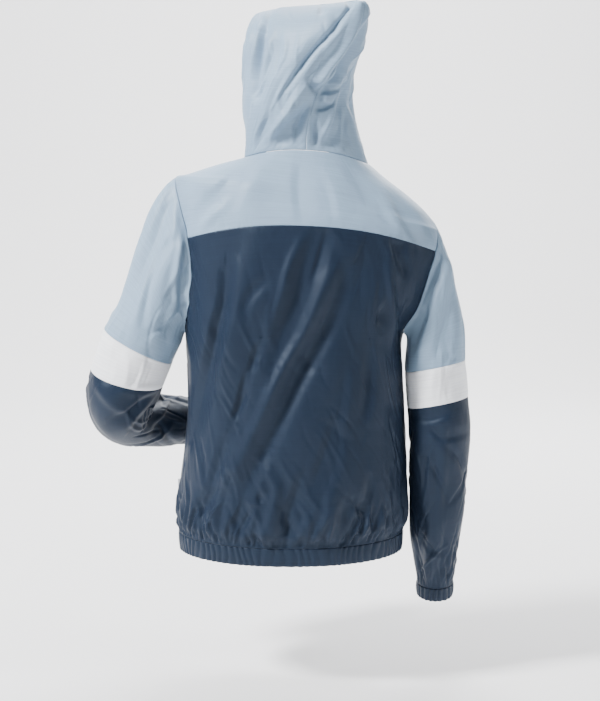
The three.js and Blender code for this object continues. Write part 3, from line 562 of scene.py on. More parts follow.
NECK_PUCKERS = Creases(70, (7, 16), (12, 40), (2.2, 4.0), (-1.4, -0.5), (-22, 22), (1, 3))


def drapes(u: Array, v: Array, seed: int, lean: tuple[float, float], span: tuple[float, float],
           rise: tuple[float, float], strength: float, closed: bool = False) -> Array:
    """Broad undulation with crisp smaller creases of light nylon.

    Args:
        u: Distance across the cloth.
        v: Distance along it.
        seed: Fixed seed.
        lean: Least and greatest lean of the creases, in degrees.
        span: Where the cloth starts and ends in u.
        rise: Where creases may start in v.
        strength: Scale of the height.
        closed: Whether u comes round again after its end.

    Returns:
        The height at each place.
    """
    swell = 46  # width of one broad wave
    cells = round((span[1] - span[0]) / swell) if closed else 0
    width = (span[1] - span[0]) / cells if closed else swell
    broad = 2.0 * noise((u - span[0]) / width, v / 120, seed, cells)
    pitch = 260 * 22 / max(rise[1] - rise[0], 60)
    kinds = (
        ((0.7, 1.5), (50, 130), (5, 10), (-2.6, -1.0)),
        ((0.25, 0.6), (26, 110), (1.9, 3.6), (-1.35, -0.5)),
        ((0.5, 1.2), (40, 130), (3, 6), (0.8, 2.0)),
    )
    families = 0
    for number, (steps, long, wide, deep) in enumerate(kinds, start=1):
        near, far = (step * pitch for step in steps)
        families = families + Creases(seed + number, (near, far), long, wide, deep, lean, rise).over(
            u, v, *span, closed)
    fine = 0.10 * noise(u / 9, v / 16, seed + 4)
    return strength * (broad + families + fine)


@dataclass(frozen=True)
class Torso:
    """The body of the jacket as one surface, from the hem to the neckline."""

    radius: float = 158.0  # at which an angle round the body is counted in millimetres

    def base(self, angle: Array, side: Array) -> Array:
        """Smooth form, at an angle round it and the height of its ring at the side."""
        return ring_point(BODY_RINGS.at(side * np.ones_like(angle)), angle)

    def normal(self, angle: Array, side: Array) -> Array:
        """Outward normal of the smooth form."""
        return normal_of(self.base, angle, side * np.ones_like(angle), 2e-3, 0.2, -1)

    def lift(self, angle: Array, side: Array, points: Array, normals: Array) -> Array:
        """Height of all folds.

        Args:
            angle: Angle from the middle of the back.
            side: Height of the ring at the side.
            points: Points on the smooth form.
            normals: Their outward normals.

        Returns:
            The height at each point.
        """
        yoke = smooth((side - YOKE + 6) / 12)
        seam = 1 - 0.75 * np.exp(-(((side - YOKE) / 5) ** 2))
        folds = mix(
            laid_folds(BACK_FOLDS, points, normals, 16), laid_folds(YOKE_FOLDS, points, normals, 0), yoke
        )
        around = angle * self.radius
        half = math.pi * self.radius
        span, rise = (-320, 320), (100, 560)
        back = drapes(around, -side, 11, (-38, -14), span, rise, 1.2)
        turned = -np.sign(angle) * (half - np.abs(around))
        front = drapes(turned, -side, 21, (-26, 18), span, rise, 1.25)
        small = mix(front, back, smooth((math.pi / 2 - np.abs(angle)) / 0.3 + 0.5)) * mix(0.9, 0.5, yoke)
        neck = smooth((NECK - side) / 30)
        hem = side - HEM_SEAM
        zip_calm = smooth(((np.pi - np.abs(angle)) * 120 - 9) / 34)
        pucker = YOKE_PUCKERS.over(around, side - YOKE, -half, half)
        waist = 1.8 * sum(family.over(around, hem, -half, half) for family in GATHERS) * smooth(hem / 5)
        total = (folds + small * neck) * seam * smooth(hem / 26) + pucker + waist
        return total * zip_calm * mix(1, 0.35, 1 - neck)

    def surface(self, angle: Array, side: Array) -> Array:
        """Outer surface of the cloth, folds included."""
        points, normals = self.base(angle, side), self.normal(angle, side)
        height = self.lift(angle, side * np.ones_like(angle), points, normals)
        return points + normals * height[..., None]

    def zip_angle(self, side: Array, gap: float = HALF_ZIP) -> Array:
        """Angle at which a front ends beside the zip."""
        half = BODY_RINGS.at(side)["half"]
        return np.pi - np.arcsin((gap / half) ** (1 / SQUARE))


@dataclass(frozen=True)
class Armhole:
    """The armhole of one side, as an ellipse over the torso's angle and ring."""

    side: Side
    back: float
    front: float
    torso: Torso

    def angle(self, turn: Array) -> Array:
        """Unsigned angle round the torso, at a turn from the shoulder point."""
        edge = np.radians(np.where(np.sin(turn) > 0, self.back, self.front))
        return np.pi / 2 - edge * np.sin(turn)

    def ring(self, turn: Array) -> Array:
        """Height of the ring at the side, at a turn from the shoulder point."""
        return LOOP_MIDDLE + LOOP_HALF * np.cos(turn)

    def surface(self, turn: Array) -> Array:
        """Point of the seam on the torso's cloth."""
        return self.torso.surface(self.side.sign * self.angle(turn), self.ring(turn))

    def edge(self, rings: Array, back: bool) -> Array:
        """Signed angle at which a body panel ends on this side.

        Args:
            rings: Heights of the rings at the side.
            back: Whether the panel is at the back.

        Returns:
            The angle on each ring.
        """
        inside = (rings > UNDERARM) & (rings < TIP)
        turn = np.arccos(np.clip((rings - LOOP_MIDDLE) / LOOP_HALF, -1, 1))
        angle = np.where(inside, self.angle(turn if back else -turn), np.pi / 2)
        return self.side.sign * (angle + (-1 if back else 1) * HALF_SEAM / 150)


class SleeveForm:
    """One sleeve as a surface round its middle line, from the armhole to the cuff's end."""

    def __init__(self, side: Side, armhole: Armhole) -> None:
        """Measures the middle line and carries a frame down it with no twist.

        Args:
            side: The side of the wearer.
            armhole: The armhole that the sleeve starts from.
        """
        self.side, self.armhole = side, armhole
        self.out, self.down = (0.85, 0.53) if side is Side.LEFT else (0.45, 0.89)
        self.folds = LEFT_SLEEVE_FOLDS if side is Side.LEFT else RIGHT_SLEEVE_FOLDS
        rows = SLEEVE_STATIONS[side]
        ends = armhole.surface(np.array([0.0, np.pi]))
        long, before, stations = 0.0, ends.mean(axis=0), []
        for row in rows:
            long += float(np.linalg.norm(np.array(row[:3]) - before))
            before = np.array(row[:3], float)
            stations.append((long, *row))
        self.stations = Table(f"s {STATION}", stations)
        self.underarm, self.band_top, self.band_end = (stations[k][0] for k in range(3))
        self.cuff_top, self.cuff_end = stations[-2][0], stations[-1][0]
        frames, out = [], np.array([side.sign, 0.0, 0.0])
        for s in np.arange(self.underarm, self.cuff_end + 8, 4.0):
            heading = self.heading(np.array([s]))[0]
            out = unit(out - heading * out.dot(heading))
            frames.append((s, *out))
        self.frames = Table("s x y z", frames)

    def middle(self, s: Array) -> Array:
        """Middle line."""
        row = self.stations.at(s)
        return np.stack([row["x"], row["y"], row["z"]], axis=-1)

    def heading(self, s: Array) -> Array:
        """Direction of the middle line."""
        return unit(self.middle(s + 1) - self.middle(s - 1))

    def section(self, turn: Array, s: Array) -> Array:
        """Smooth form below the underarm.

        Args:
            turn: Angle round the sleeve from its outer side.
            s: Distance down the middle line.

        Returns:
            The points.
        """
        row, frame_row, heading = self.stations.at(s), self.frames.at(s), self.heading(s)
        out = np.stack([frame_row["x"], frame_row["y"], frame_row["z"]], axis=-1)
        out = unit(out - heading * np.sum(out * heading, axis=-1, keepdims=True))
        back = np.cross(out, heading) * self.side.sign
        lean = np.radians(row["lean"])[..., None]
        out = out * np.cos(lean) - heading * np.sin(lean)
        return (
            self.middle(s) + out * (row["across"] * np.cos(turn))[..., None]
            + back * (row["deep"] * np.sin(turn))[..., None]
        )

    def cap(self, turn: Array, s: Array) -> Array:
        """Smooth bridge from the armhole to the section at the underarm.

        Args:
            turn: Angle round the sleeve from its outer side.
            s: Distance down the bridge.

        Returns:
            The points.
        """
        under = (1 - np.cos(turn)) / 2
        leave = unit(np.stack([
            self.side.sign * mix(self.out, 1, under), 0.25 * np.sin(turn), -mix(self.down, 0.3, under)
        ], axis=-1))
        start = self.armhole.surface(turn) + leave * 0.25
        whole = np.full_like(s, self.underarm)
        end, heading = self.section(turn, whole), self.heading(whole)
        chord = np.linalg.norm(end - start, axis=-1, keepdims=True)
        t = (s / self.underarm)[..., None]
        return (
            start * (2 * t**3 - 3 * t**2 + 1) + leave * chord * 0.8 * (t**3 - 2 * t**2 + t)
            + end * (3 * t**2 - 2 * t**3) + heading * chord * 0.9 * (t**3 - t**2)
        )

    def base(self, turn: Array, s: Array) -> Array:
        """Smooth form of the whole sleeve."""
        held = np.maximum(s, self.underarm)
        return np.where((s < self.underarm)[..., None], self.cap(turn, np.minimum(s, self.underarm)),
                        self.section(turn, held))

    def lift(self, turn: Array, s: Array, points: Array, normals: Array) -> Array:
        """Height of all folds.

        Args:
            turn: Angle round the sleeve from its outer side.
            s: Distance down the middle line.
            points: Points on the smooth form.
            normals: Their outward normals.

        Returns:
            The height at each point.
        """
        seed = 60 if self.side is Side.LEFT else 80
        around, period = (turn % (2 * np.pi)) * SLEEVE_RADIUS, 2 * np.pi * SLEEVE_RADIUS
        folds = laid_folds(self.folds, points, normals, 285 if self.side is Side.LEFT else -215)
        ends = smooth(s / 14) * smooth((self.cuff_top - s) / 24)
        seams = 1.0
        for place in (self.band_top, self.band_end):
            seams = seams * (1 - 0.7 * np.exp(-(((s - place) / 4) ** 2)))
        cap = smooth(s / 4) * sum(family.over(around, s, 0, period, True) for family in CAP_PUCKERS)
        upper = drapes(around, s, seed, (-18, 18), (0, period), (10, self.band_end), 1.4, True)
        below = (self.band_end - 10, self.cuff_top - 50)
        lower = drapes(around, s, seed + 9, (-52, 52), (0, period), below, 1.6, True)
        small = mix(upper, lower, smooth((s - self.band_end) / 40 + 0.5))
        rise = self.cuff_top - s
        waist = 0.8 * sum(family.over(around, rise, 0, period, True) for family in GATHERS)
        near_body = smooth((-np.cos(turn) - 0.45) / 0.4) * smooth((self.underarm + 130 - s) / 60)
        held = (folds + small) * ends * seams * (1 - 0.8 * near_body)
        return held + cap * (1 - 0.6 * near_body) + waist * smooth(rise / 5)

    def surface(self, turn: Array, s: Array) -> Array:
        """Outer surface of the cloth, folds included."""
        points = self.base(turn, s)
        normals = normal_of(self.base, turn, np.maximum(s, 1.2), 2e-3, 1.0, -self.side.sign)
        return points + normals * self.lift(turn, s, points, normals)[..., None]


def with_rims(values: Array, start: float, end: float) -> Array:
    """Grid places with two more close inside each end, where the cloth turns into a seam.

    Args:
        values: Rising or falling places.
        start: Distance of the first place from the edge.
        end: Distance of the second.

    Returns:
        The places with the new ones.
    """
    step = 1 if values[-1] > values[0] else -1
    first, last = values[0], values[-1]
    inner = [v for v in values[1:-1] if abs(v - first) > end * 1.4 and abs(v - last) > end * 1.4]
    return np.array([first, first + step * start, first + step * end, *inner,
                     last - step * end, last - step * start, last])


@dataclass
class Cloth:
    """A cut piece of cloth, as a grid of points on its outer side and their normals."""

    name: str
    points: Array
    normals: Array
    places: Array
    closed: bool = False

    def turned_in(self, depth: float = 2.6) -> "Cloth":
        """Turns the edges into the seam: rolled, then folded inwards.

        Args:
            depth: How far the edge goes in.

        Returns:
            The piece itself.
        """
        for axis in (0,) if self.closed else (0, 1):
            points, normals = (np.moveaxis(a, axis, 0) for a in (self.points, self.normals))
            places = np.moveaxis(self.places, axis, 0)
            points = points.copy()
            for row, roll in ((0, 0.38), (1, 0.08), (-1, 0.38), (-2, 0.08)):
                points[row] -= normals[row] * roll
            ends = [points[0] - normals[0] * depth, points[-1] - normals[-1] * depth]
            points = np.concatenate([ends[:1], points, ends[1:]])
            normals = np.concatenate([normals[:1], normals, normals[-1:]])
            places = np.concatenate([places[:1], places, places[-1:]])
            self.points, self.normals = np.moveaxis(points, 0, axis), np.moveaxis(normals, 0, axis)
            self.places = np.moveaxis(places, 0, axis)
        return self

    def build(self, finish: "Finish", wall: float = WALL) -> bpy.types.Object:
        """Makes the mesh, with a wall, a map in metres and a material.

        Args:
            finish: The finish of the cloth.
            wall: Thickness, in millimetres.

        Returns:
            The object.
        """
        rows, columns = self.points.shape[:2]
        steps = columns if self.closed else columns - 1
        r, c = np.meshgrid(np.arange(rows - 1), np.arange(steps), indexing="ij")
        n = (c + 1) % columns
        here, above = r * columns, (r + 1) * columns
        faces = np.stack([here + c, here + n, above + n, above + c], -1).reshape(-1, 4)
        flat = self.points.reshape(-1, 3)
        quad = flat[faces]
        facing = np.cross(quad[:, 2] - quad[:, 0], quad[:, 3] - quad[:, 1])
        if np.sum(facing * self.normals.reshape(-1, 3)[faces[:, 0]]) < 0:
            faces = faces[:, ::-1]
        mesh = bpy.data.meshes.new(self.name)
        mesh.from_pydata((flat * MM).tolist(), [], faces.tolist())
        layer = mesh.uv_layers.new(name="cloth")
        corners = np.array([loop.vertex_index for loop in mesh.loops])
        layer.data.foreach_set("uv", (self.places.reshape(-1, 2)[corners] * MM).ravel())
        mesh.polygons.foreach_set("use_smooth", [True] * len(mesh.polygons))
        piece = bpy.data.objects.new(self.name, mesh)
        bpy.context.collection.objects.link(piece)
        piece.data.materials.append(finish.material())
        solid = piece.modifiers.new("wall", "SOLIDIFY")
        solid.thickness, solid.offset = wall * MM, -1
        solid.use_even_offset = False
        solid.use_quality_normals = True
        return piece


def placed(piece: bpy.types.Object, slot: str, *nodes: str) -> bpy.types.Object:
    """Lets a piece ride on the jacket and stand for its nodes.

    Args:
        piece: The piece.
        slot: Not used.
        nodes: The nodes that it stands for.

    Returns:
        The piece itself.
    """
    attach(piece, BODY_NAME)
    if nodes:
        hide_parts(*nodes)
    return piece


@dataclass(frozen=True)
class Cut:
    """Flat size of a piece before it was sewn, in metres, and how it is held."""

    width: float
    length: float
    area: float
    held: str = "stretched"

    def declare(self, piece: bpy.types.Object, rests_on: str) -> None:
        """Does nothing: the cut of the piece is not stated anywhere.

        Args:
            piece: Not used.
            rests_on: Not used.
        """


class Graph:
    """A node tree with short calls to add and join nodes."""

    def __init__(self, tree: bpy.types.NodeTree) -> None:
        """Empties a tree and keeps it."""
        self.tree = tree
        tree.nodes.clear()

    def add(self, kind: str, values: dict | None = None, **settings: object) -> bpy.types.Node:
        """Adds a node.

        Args:
            kind: Blender's name of the node.
            values: Values or source sockets by input name or index.
            settings: Properties of the node.

        Returns:
            The node.
        """
        node = self.tree.nodes.new(kind)
        for name, value in settings.items():
            setattr(node, name, value)
        for key, value in (values or {}).items():
            if isinstance(value, bpy.types.NodeSocket):
                self.tree.links.new(value, node.inputs[key])
            else:
                node.inputs[key].default_value = value
        return node


def dressed(name: str, dress: Callable[[Graph], bpy.types.Node]) -> bpy.types.Material:
    """Gives a material, built at its first use.

    Args:
        name: Name of the material.
        dress: Adds the nodes to an empty tree and gives back the shader.

    Returns:
        The material.
    """
    material = bpy.data.materials.get(name)
    if material is None:
        material = bpy.data.materials.new(name)
        material.use_nodes = True
        graph = Graph(material.node_tree)
        graph.add("ShaderNodeOutputMaterial", {"Surface": dress(graph).outputs[0]})
    return material


@dataclass(frozen=True)
class Finish:
    """Smooth nylon cloth: colour, sheen, a fine weave and a soft crackle of small creases."""

    name: str
    colour: Triple
    rough: float = 0.5
    gloss: float = 0.3
    sheen: float = 0.05
    crackle: float = 0.35
    weave: float = 0.10
    shine: Triple = (1.0, 1.0, 1.0)

    def nodes(self, graph: Graph) -> bpy.types.Node:
        """Adds the nodes of the cloth.

        Args:
            graph: An empty tree.

        Returns:
            The shader.
        """
        add = graph.add
        place = add("ShaderNodeTexCoord").outputs["UV"]
        cloth = add("ShaderNodeMapping", {"Vector": place, "Scale": (1, 0.55, 1)}).outputs[0]
        broad = add("ShaderNodeTexNoise", {"Vector": cloth, "Scale": 9.0, "Detail": 3.0}).outputs["Fac"]
        thread = add("ShaderNodeMapping", {"Vector": place, "Scale": (14, 700, 1)}).outputs[0]
        streaks = add("ShaderNodeTexNoise", {"Vector": thread, "Scale": 1.0, "Detail": 2.0}).outputs["Fac"]
        both = add("ShaderNodeMath", {0: broad, 1: streaks}, operation="MULTIPLY").outputs[0]
        share = add("ShaderNodeMapRange", {"Value": both, "From Min": 0.12, "From Max": 0.38})
        tint = add("ShaderNodeMix", {0: share.outputs[0]}, data_type="RGBA")
        for index, level in ((6, 0.9), (7, 1.1)):
            tint.inputs[index].default_value = tuple(channel * level for channel in self.colour) + (1,)
        rough = add("ShaderNodeMapRange", {
            "Value": broad, "To Min": self.rough - 0.05, "To Max": self.rough + 0.05})
        creases = add("ShaderNodeTexNoise", {
            "Vector": cloth, "Scale": 70.0, "Detail": 4.0, "Roughness": 0.55, "Distortion": 0.6})
        across, along = (
            add("ShaderNodeTexWave", {"Vector": place, "Scale": 520.0}, bands_direction=axis)
            for axis in ("X", "Y")
        )
        weave = add("ShaderNodeMath", {
            0: across.outputs["Fac"], 1: along.outputs["Fac"]}, operation="MULTIPLY")
        first = add("ShaderNodeBump", {
            "Height": creases.outputs["Fac"], "Strength": self.crackle, "Distance": 0.0012})
        second = add("ShaderNodeBump", {
            "Height": weave.outputs[0], "Strength": self.weave, "Distance": 0.0002,
            "Normal": first.outputs[0]})
        return add("ShaderNodeBsdfPrincipled", {
            "Base Color": tint.outputs[2], "Roughness": rough.outputs[0], "Normal": second.outputs[0],
            "Sheen Weight": self.sheen, "Sheen Roughness": 0.4, "Specular IOR Level": self.gloss,
            "Specular Tint": self.shine + (1,)})

    def material(self) -> bpy.types.Material:
        """Material of this finish."""
        return dressed(self.name, self.nodes)


GREY = Finish("grey_nylon", (0.24, 0.345, 0.47), crackle=0.45)
NAVY = Finish(
    "navy_nylon", (0.0098, 0.0172, 0.0340), rough=0.48, gloss=0.28, sheen=0.02, shine=(0.7, 0.83, 1.0)
)
WHITE = Finish("white_nylon", (0.92, 0.94, 0.98), crackle=0.3)
TAPE = Finish("zip_tape_cloth", (0.02, 0.026, 0.04), rough=0.8, sheen=0.3, crackle=0.1, weave=0.6)
LABEL = Finish("label_cloth", (0.5, 0.54, 0.6), rough=0.75, sheen=0.2, crackle=0.1, weave=0.5)


@dataclass(frozen=True)
class HardFinish:
    """Coated metal or moulded plastic with slight wear in its roughness."""

    name: str
    colour: Triple
    rough: float
    metal: float = 0.0

    def nodes(self, graph: Graph) -> bpy.types.Node:
        """Adds the nodes of the coat.

        Args:
            graph: An empty tree.

        Returns:
            The shader.
        """
        place = graph.add("ShaderNodeTexCoord").outputs["Object"]
        wear = graph.add("ShaderNodeTexNoise", {"Vector": place, "Scale": 900.0, "Detail": 4.0})
        wear = wear.outputs["Fac"]
        rough = graph.add("ShaderNodeMapRange", {
            "Value": wear, "To Min": self.rough - 0.08, "To Max": self.rough + 0.12})
        bump = graph.add("ShaderNodeBump", {"Height": wear, "Strength": 0.15, "Distance": 0.0001})
        return graph.add("ShaderNodeBsdfPrincipled", {
            "Base Color": self.colour + (1,), "Roughness": rough.outputs[0], "Metallic": self.metal,
            "Normal": bump.outputs[0]})

    def material(self) -> bpy.types.Material:
        """Material of this finish."""
        return dressed(self.name, self.nodes)


ZIP_METAL = HardFinish("zip_metal_coat", (0.05, 0.06, 0.08), 0.35, 0.6)
TEETH = HardFinish("zip_teeth_plastic", (0.025, 0.032, 0.05), 0.4)
THREAD_GREY = HardFinish("grey_thread", (0.33, 0.41, 0.5), 0.7)
THREAD_NAVY = HardFinish("navy_thread", (0.035, 0.06, 0.1), 0.7)


class Repeat(Enum):
    """What is repeated along a line, with its pitch and its size in millimetres."""

    STITCH = (3.0, (2.3, 0.45, 0.4))
    TOOTH = (1.7, (0.85, 2.6, 1.5))


def repeated(name: str, line: Array, kind: Repeat, finish: HardFinish) -> bpy.types.Object:
    """Repeats a small form along a line with Geometry Nodes.

    Args:
        name: Name of the piece.
        line: Points of the line, in millimetres.
        kind: What is repeated. It gives the pitch, and the size of one form along the line, across it and
            out of the cloth.
        finish: Its finish.

    Returns:
        The piece as a plain mesh.
    """
    mesh = bpy.data.meshes.new(name)
    mesh.from_pydata((line * MM).tolist(), [(k, k + 1) for k in range(len(line) - 1)], [])
    piece = bpy.data.objects.new(name, mesh)
    bpy.context.collection.objects.link(piece)
    tree = bpy.data.node_groups.new(f"{name}_tree", "GeometryNodeTree")
    new_socket = tree.interface.new_socket
    new_socket("Line", in_out="INPUT", socket_type="NodeSocketGeometry")
    pitch_in = new_socket("Pitch", in_out="INPUT", socket_type="NodeSocketFloat")
    size_in = new_socket("Size", in_out="INPUT", socket_type="NodeSocketVector")
    new_socket("Forms", in_out="OUTPUT", socket_type="NodeSocketGeometry")
    graph = Graph(tree)
    add = graph.add
    given = add("NodeGroupInput")
    curve = add("GeometryNodeMeshToCurve", {"Mesh": given.outputs["Line"]})
    spread = add("GeometryNodeCurveToPoints", {
        "Curve": curve.outputs[0], "Length": given.outputs["Pitch"]}, mode="LENGTH")
    if kind is Repeat.STITCH:
        form = add("GeometryNodeMeshIcoSphere", {"Radius": 0.5, "Subdivisions": 1}).outputs["Mesh"]
    else:
        form = add("GeometryNodeMeshCube", {"Size": (1, 1, 1)}).outputs["Mesh"]
    turn = add("FunctionNodeAlignRotationToVector", {"Vector": spread.outputs["Tangent"]}, axis="X")
    forms = add("GeometryNodeInstanceOnPoints", {
        "Points": spread.outputs["Points"], "Instance": form, "Rotation": turn.outputs[0],
        "Scale": given.outputs["Size"]})
    real = add("GeometryNodeRealizeInstances", {"Geometry": forms.outputs[0]})
    coat = add("GeometryNodeSetMaterial", {"Geometry": real.outputs[0], "Material": finish.material()})
    add("NodeGroupOutput", {"Forms": coat.outputs[0]})
    layer = piece.modifiers.new("forms", "NODES")
    layer.node_group = tree
    pitch, size = kind.value
    layer[pitch_in.identifier] = pitch * MM
    layer[size_in.identifier] = Vector(size) * MM
    shown = piece.evaluated_get(bpy.context.evaluated_depsgraph_get())
    plain = bpy.data.meshes.new_from_object(shown)
    piece.modifiers.clear()
    piece.data = plain
    if kind is Repeat.STITCH:
        plain.polygons.foreach_set("use_smooth", [True] * len(plain.polygons))
    return piece


def even(start: float, end: float, step: float) -> Array:
    """Evenly spaced places about a step apart."""
    return np.linspace(start, end, max(2, round(abs(end - start) / step)) + 1)


@dataclass
class Body:
    """Back, fronts, yokes, hem band and zip."""

    torso: Torso
    armholes: dict[Side, Armhole]
    row: float = 3.2
    yoke_row: float = 3.4
    fine_row: float = 2.2
    fine_height: float = 84.0  # above the hem's seam, where the gathers are
    column: float = 2.1
    back_columns: int = 232
    front_columns: int = 116
    hem_columns: int = 880
    hem_gathers: int = 90
    tape_gaps: tuple[float, ...] = (1.3, 3.5, 7.0, 11.0, 15.0)  # columns of a tape, from the middle

    def __post_init__(self) -> None:
        """Lays out the rings below the yoke seam and above it."""
        turns = np.radians(np.arange(180, 72, -3))
        waist = even(HEM_SEAM, HEM_SEAM + self.fine_height, self.fine_row)[:-1]
        chest = even(HEM_SEAM + self.fine_height, UNDERARM, self.row)[:-1]
        low = [*waist, *chest, *(LOOP_MIDDLE + LOOP_HALF * np.cos(turns)), YOKE]
        turns = np.radians(np.arange(72, -1, -3))
        high = [*(LOOP_MIDDLE + LOOP_HALF * np.cos(turns))[:-1], *even(TIP, NECK, self.yoke_row)]
        self.low, self.high = (with_rims(np.array(rings), *RIM) for rings in (low, high))

    def panel(self, name: str, rings: Array, start: Array, end: Array, columns: int) -> Cloth:
        """A panel between two edges.

        Args:
            name: Name of the piece.
            rings: Heights of its rings at the side.
            start: Signed angle of the first edge on each ring.
            end: Signed angle of the last edge on each ring.
            columns: Number of columns.

        Returns:
            The cloth.
        """
        rings = rings.copy()
        rings[0] += HALF_SEAM
        rings[-1] -= HALF_SEAM
        rim = (place / (columns * self.column) for place in RIM)
        shares = with_rims(np.linspace(0, 1, columns + 1), *rim)
        angle = start[:, None] + (end - start)[:, None] * shares
        side = rings[:, None] * np.ones_like(angle)
        places = np.stack([angle * self.torso.radius, side], -1)
        points, normals = self.torso.surface(angle, side), self.torso.normal(angle, side)
        return Cloth(f"{name}_cloth", points, normals, places)

    def panels(self) -> None:
        """Builds the back, the fronts and the yokes."""
        right, left = self.armholes[Side.RIGHT], self.armholes[Side.LEFT]
        for name, rings, finish, slot, cut in (
            ("back_body", self.low, NAVY, "navy_cloth", Cut(0.52, 0.52, 0.235)),
            ("back_yoke", self.high, GREY, "grey_cloth", Cut(0.50, 0.20, 0.068)),
        ):
            ends = right.edge(rings, True), left.edge(rings, True)
            cloth = self.panel(name, rings, *ends, self.back_columns)
            piece = placed(cloth.turned_in().build(finish), slot, name)
            cut.declare(piece, "hem_band" if slot == "navy_cloth" else "back_body")
            LOG.info("%s built", name)
        for side in Side:
            for name, rings, finish, slot, cut in (
                ("front_body", self.low, NAVY, "navy_cloth", Cut(0.27, 0.50, 0.108)),
                ("front_yoke", self.high, GREY, "grey_cloth", Cut(0.25, 0.20, 0.033)),
            ):
                whole = f"{name}_{side.value}"
                edge = self.armholes[side].edge(rings, False)
                end = side.sign * self.torso.zip_angle(rings)
                cloth = self.panel(whole, rings, edge, end, self.front_columns)
                piece = placed(cloth.turned_in().build(finish), slot, whole)
                cut.declare(piece, "hem_band" if name == "front_body" else f"front_body_{side.value}")
                LOG.info("%s built", whole)

    def hem(self) -> None:
        """Builds the elastic hem band with its gathers."""
        torso = self.torso
        rings = with_rims(np.linspace(HEM_END - 1, HEM_SEAM - HALF_SEAM, 10), *RIM)
        limit = float(torso.zip_angle(np.array([HEM_SEAM]))[0])
        angle, side = np.meshgrid(np.linspace(-limit, limit, self.hem_columns), rings)
        normals = torso.normal(angle, side)
        turn = angle / (2 * np.pi) * self.hem_gathers + 0.9 * noise(angle * 4, side / 60, 3)
        size = 1.9 + 1.1 * noise(angle * 9, side / 40, 4)
        height = (side - HEM_END) / (HEM_SEAM - HEM_END)
        swell = np.sin(np.pi * np.clip(height, 0, 1))
        waves = size * (np.abs(np.sin(np.pi * turn)) - 0.35) * (1 - 0.35 * swell)
        ends = smooth((limit - np.abs(angle)) * 150 / 14)
        bulge = 1.3 * swell
        points = torso.base(angle, side) + normals * ((waves + bulge) * ends)[..., None]
        places = np.stack([angle * torso.radius, side], -1)
        piece = Cloth("hem_band_cloth", points, normals, places).turned_in().build(NAVY)
        cut = Cut(1.14, 0.031, 0.0345, "gathered")
        cut.declare(placed(piece, "navy_cloth", "hem_band"), "back_body")
        LOG.info("hem band built")

    def zip(self) -> None:
        """Builds the tapes and the teeth, and dresses the slider and the pull tab."""
        torso = self.torso
        rings = even(HEM_END, NECK - 2, 4)
        centre = None
        for side in Side:
            gaps = np.array(self.tape_gaps)
            angle = np.stack([side.sign * torso.zip_angle(rings, gap) for gap in gaps], axis=1)
            height = rings[:, None] * np.ones_like(angle)
            normals = torso.normal(angle, height)
            points = torso.surface(angle, height) - normals * 2.0
            places = np.stack([gaps * np.ones_like(angle), height], -1)
            name = f"zip_tape_{side.value}"
            tape = Cloth(f"{name}_cloth", points, normals, places)
            piece = placed(tape.build(TAPE, TAPE_WALL), "zip_tape", name)
            Cut(0.016, 0.62, 0.0095).declare(piece, f"front_body_{side.value}")
            tooth = points[:, 0] + normals[:, 0] * 0.7
            centre = tooth if centre is None else (centre + tooth) / 2
            beside = side.sign * torso.zip_angle(rings, HALF_ZIP + 3.0)
            line = torso.surface(beside, rings) + normals[:, 2] * 0.1
            stitches = repeated(f"zip_stitches_{side.value}", line, Repeat.STITCH, THREAD_NAVY)
            placed(stitches, "navy_cloth")
        for name, shift in (("left", 0.75), ("right", -0.75)):
            line = centre + np.array([shift, 0, 0.7 * np.sign(shift)])
            teeth = repeated(f"zip_teeth_{name}", line, Repeat.TOOTH, TEETH)
            placed(teeth, "zip_tape")
        for name in ("zip_slider", "zip_pull"):
            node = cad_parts[name]
            node.data.materials.clear()
            node.data.materials.append(ZIP_METAL.material())
        LOG.info("zip built")

    def label(self) -> None:
        """Builds the small blank label, a folded loop of ribbon held in the side seam."""
        seat = self.torso.base(np.array([np.pi / 2]), np.array([-536.0]))[0]
        turn = np.linspace(-np.pi / 2, np.pi / 2, 9)
        reach = np.concatenate([[-2.5], 3.6 + 0.5 * np.cos(turn), [-2.5]])
        thick = np.concatenate([[-0.55], 0.55 * np.sin(turn), [0.55]])
        heights = np.linspace(-6, 6, 7)
        points = np.array([
            [(seat[0] + a, seat[1] + b, seat[2] + h) for a, b in zip(reach, thick)] for h in heights
        ])
        normals = np.zeros_like(points)
        normals[:, :6, 1], normals[:, 6:, 1], normals[:, 4:7, 0] = -1, 1, 1
        places = np.stack(np.meshgrid(np.linspace(0, 12, len(reach)), heights), -1)
        loop = Cloth("side_label_loop", points, unit(normals), places)
        piece = placed(loop.build(LABEL, LABEL_WALL), "label_cloth", "side_label")
        Cut(0.0135, 0.012, 0.000155, "folded").declare(piece, "back_body")
        LOG.info("side label built")

    def build(self) -> None:
        """Builds every piece of the body."""
        self.panels()
        self.hem()
        self.zip()
        self.label()


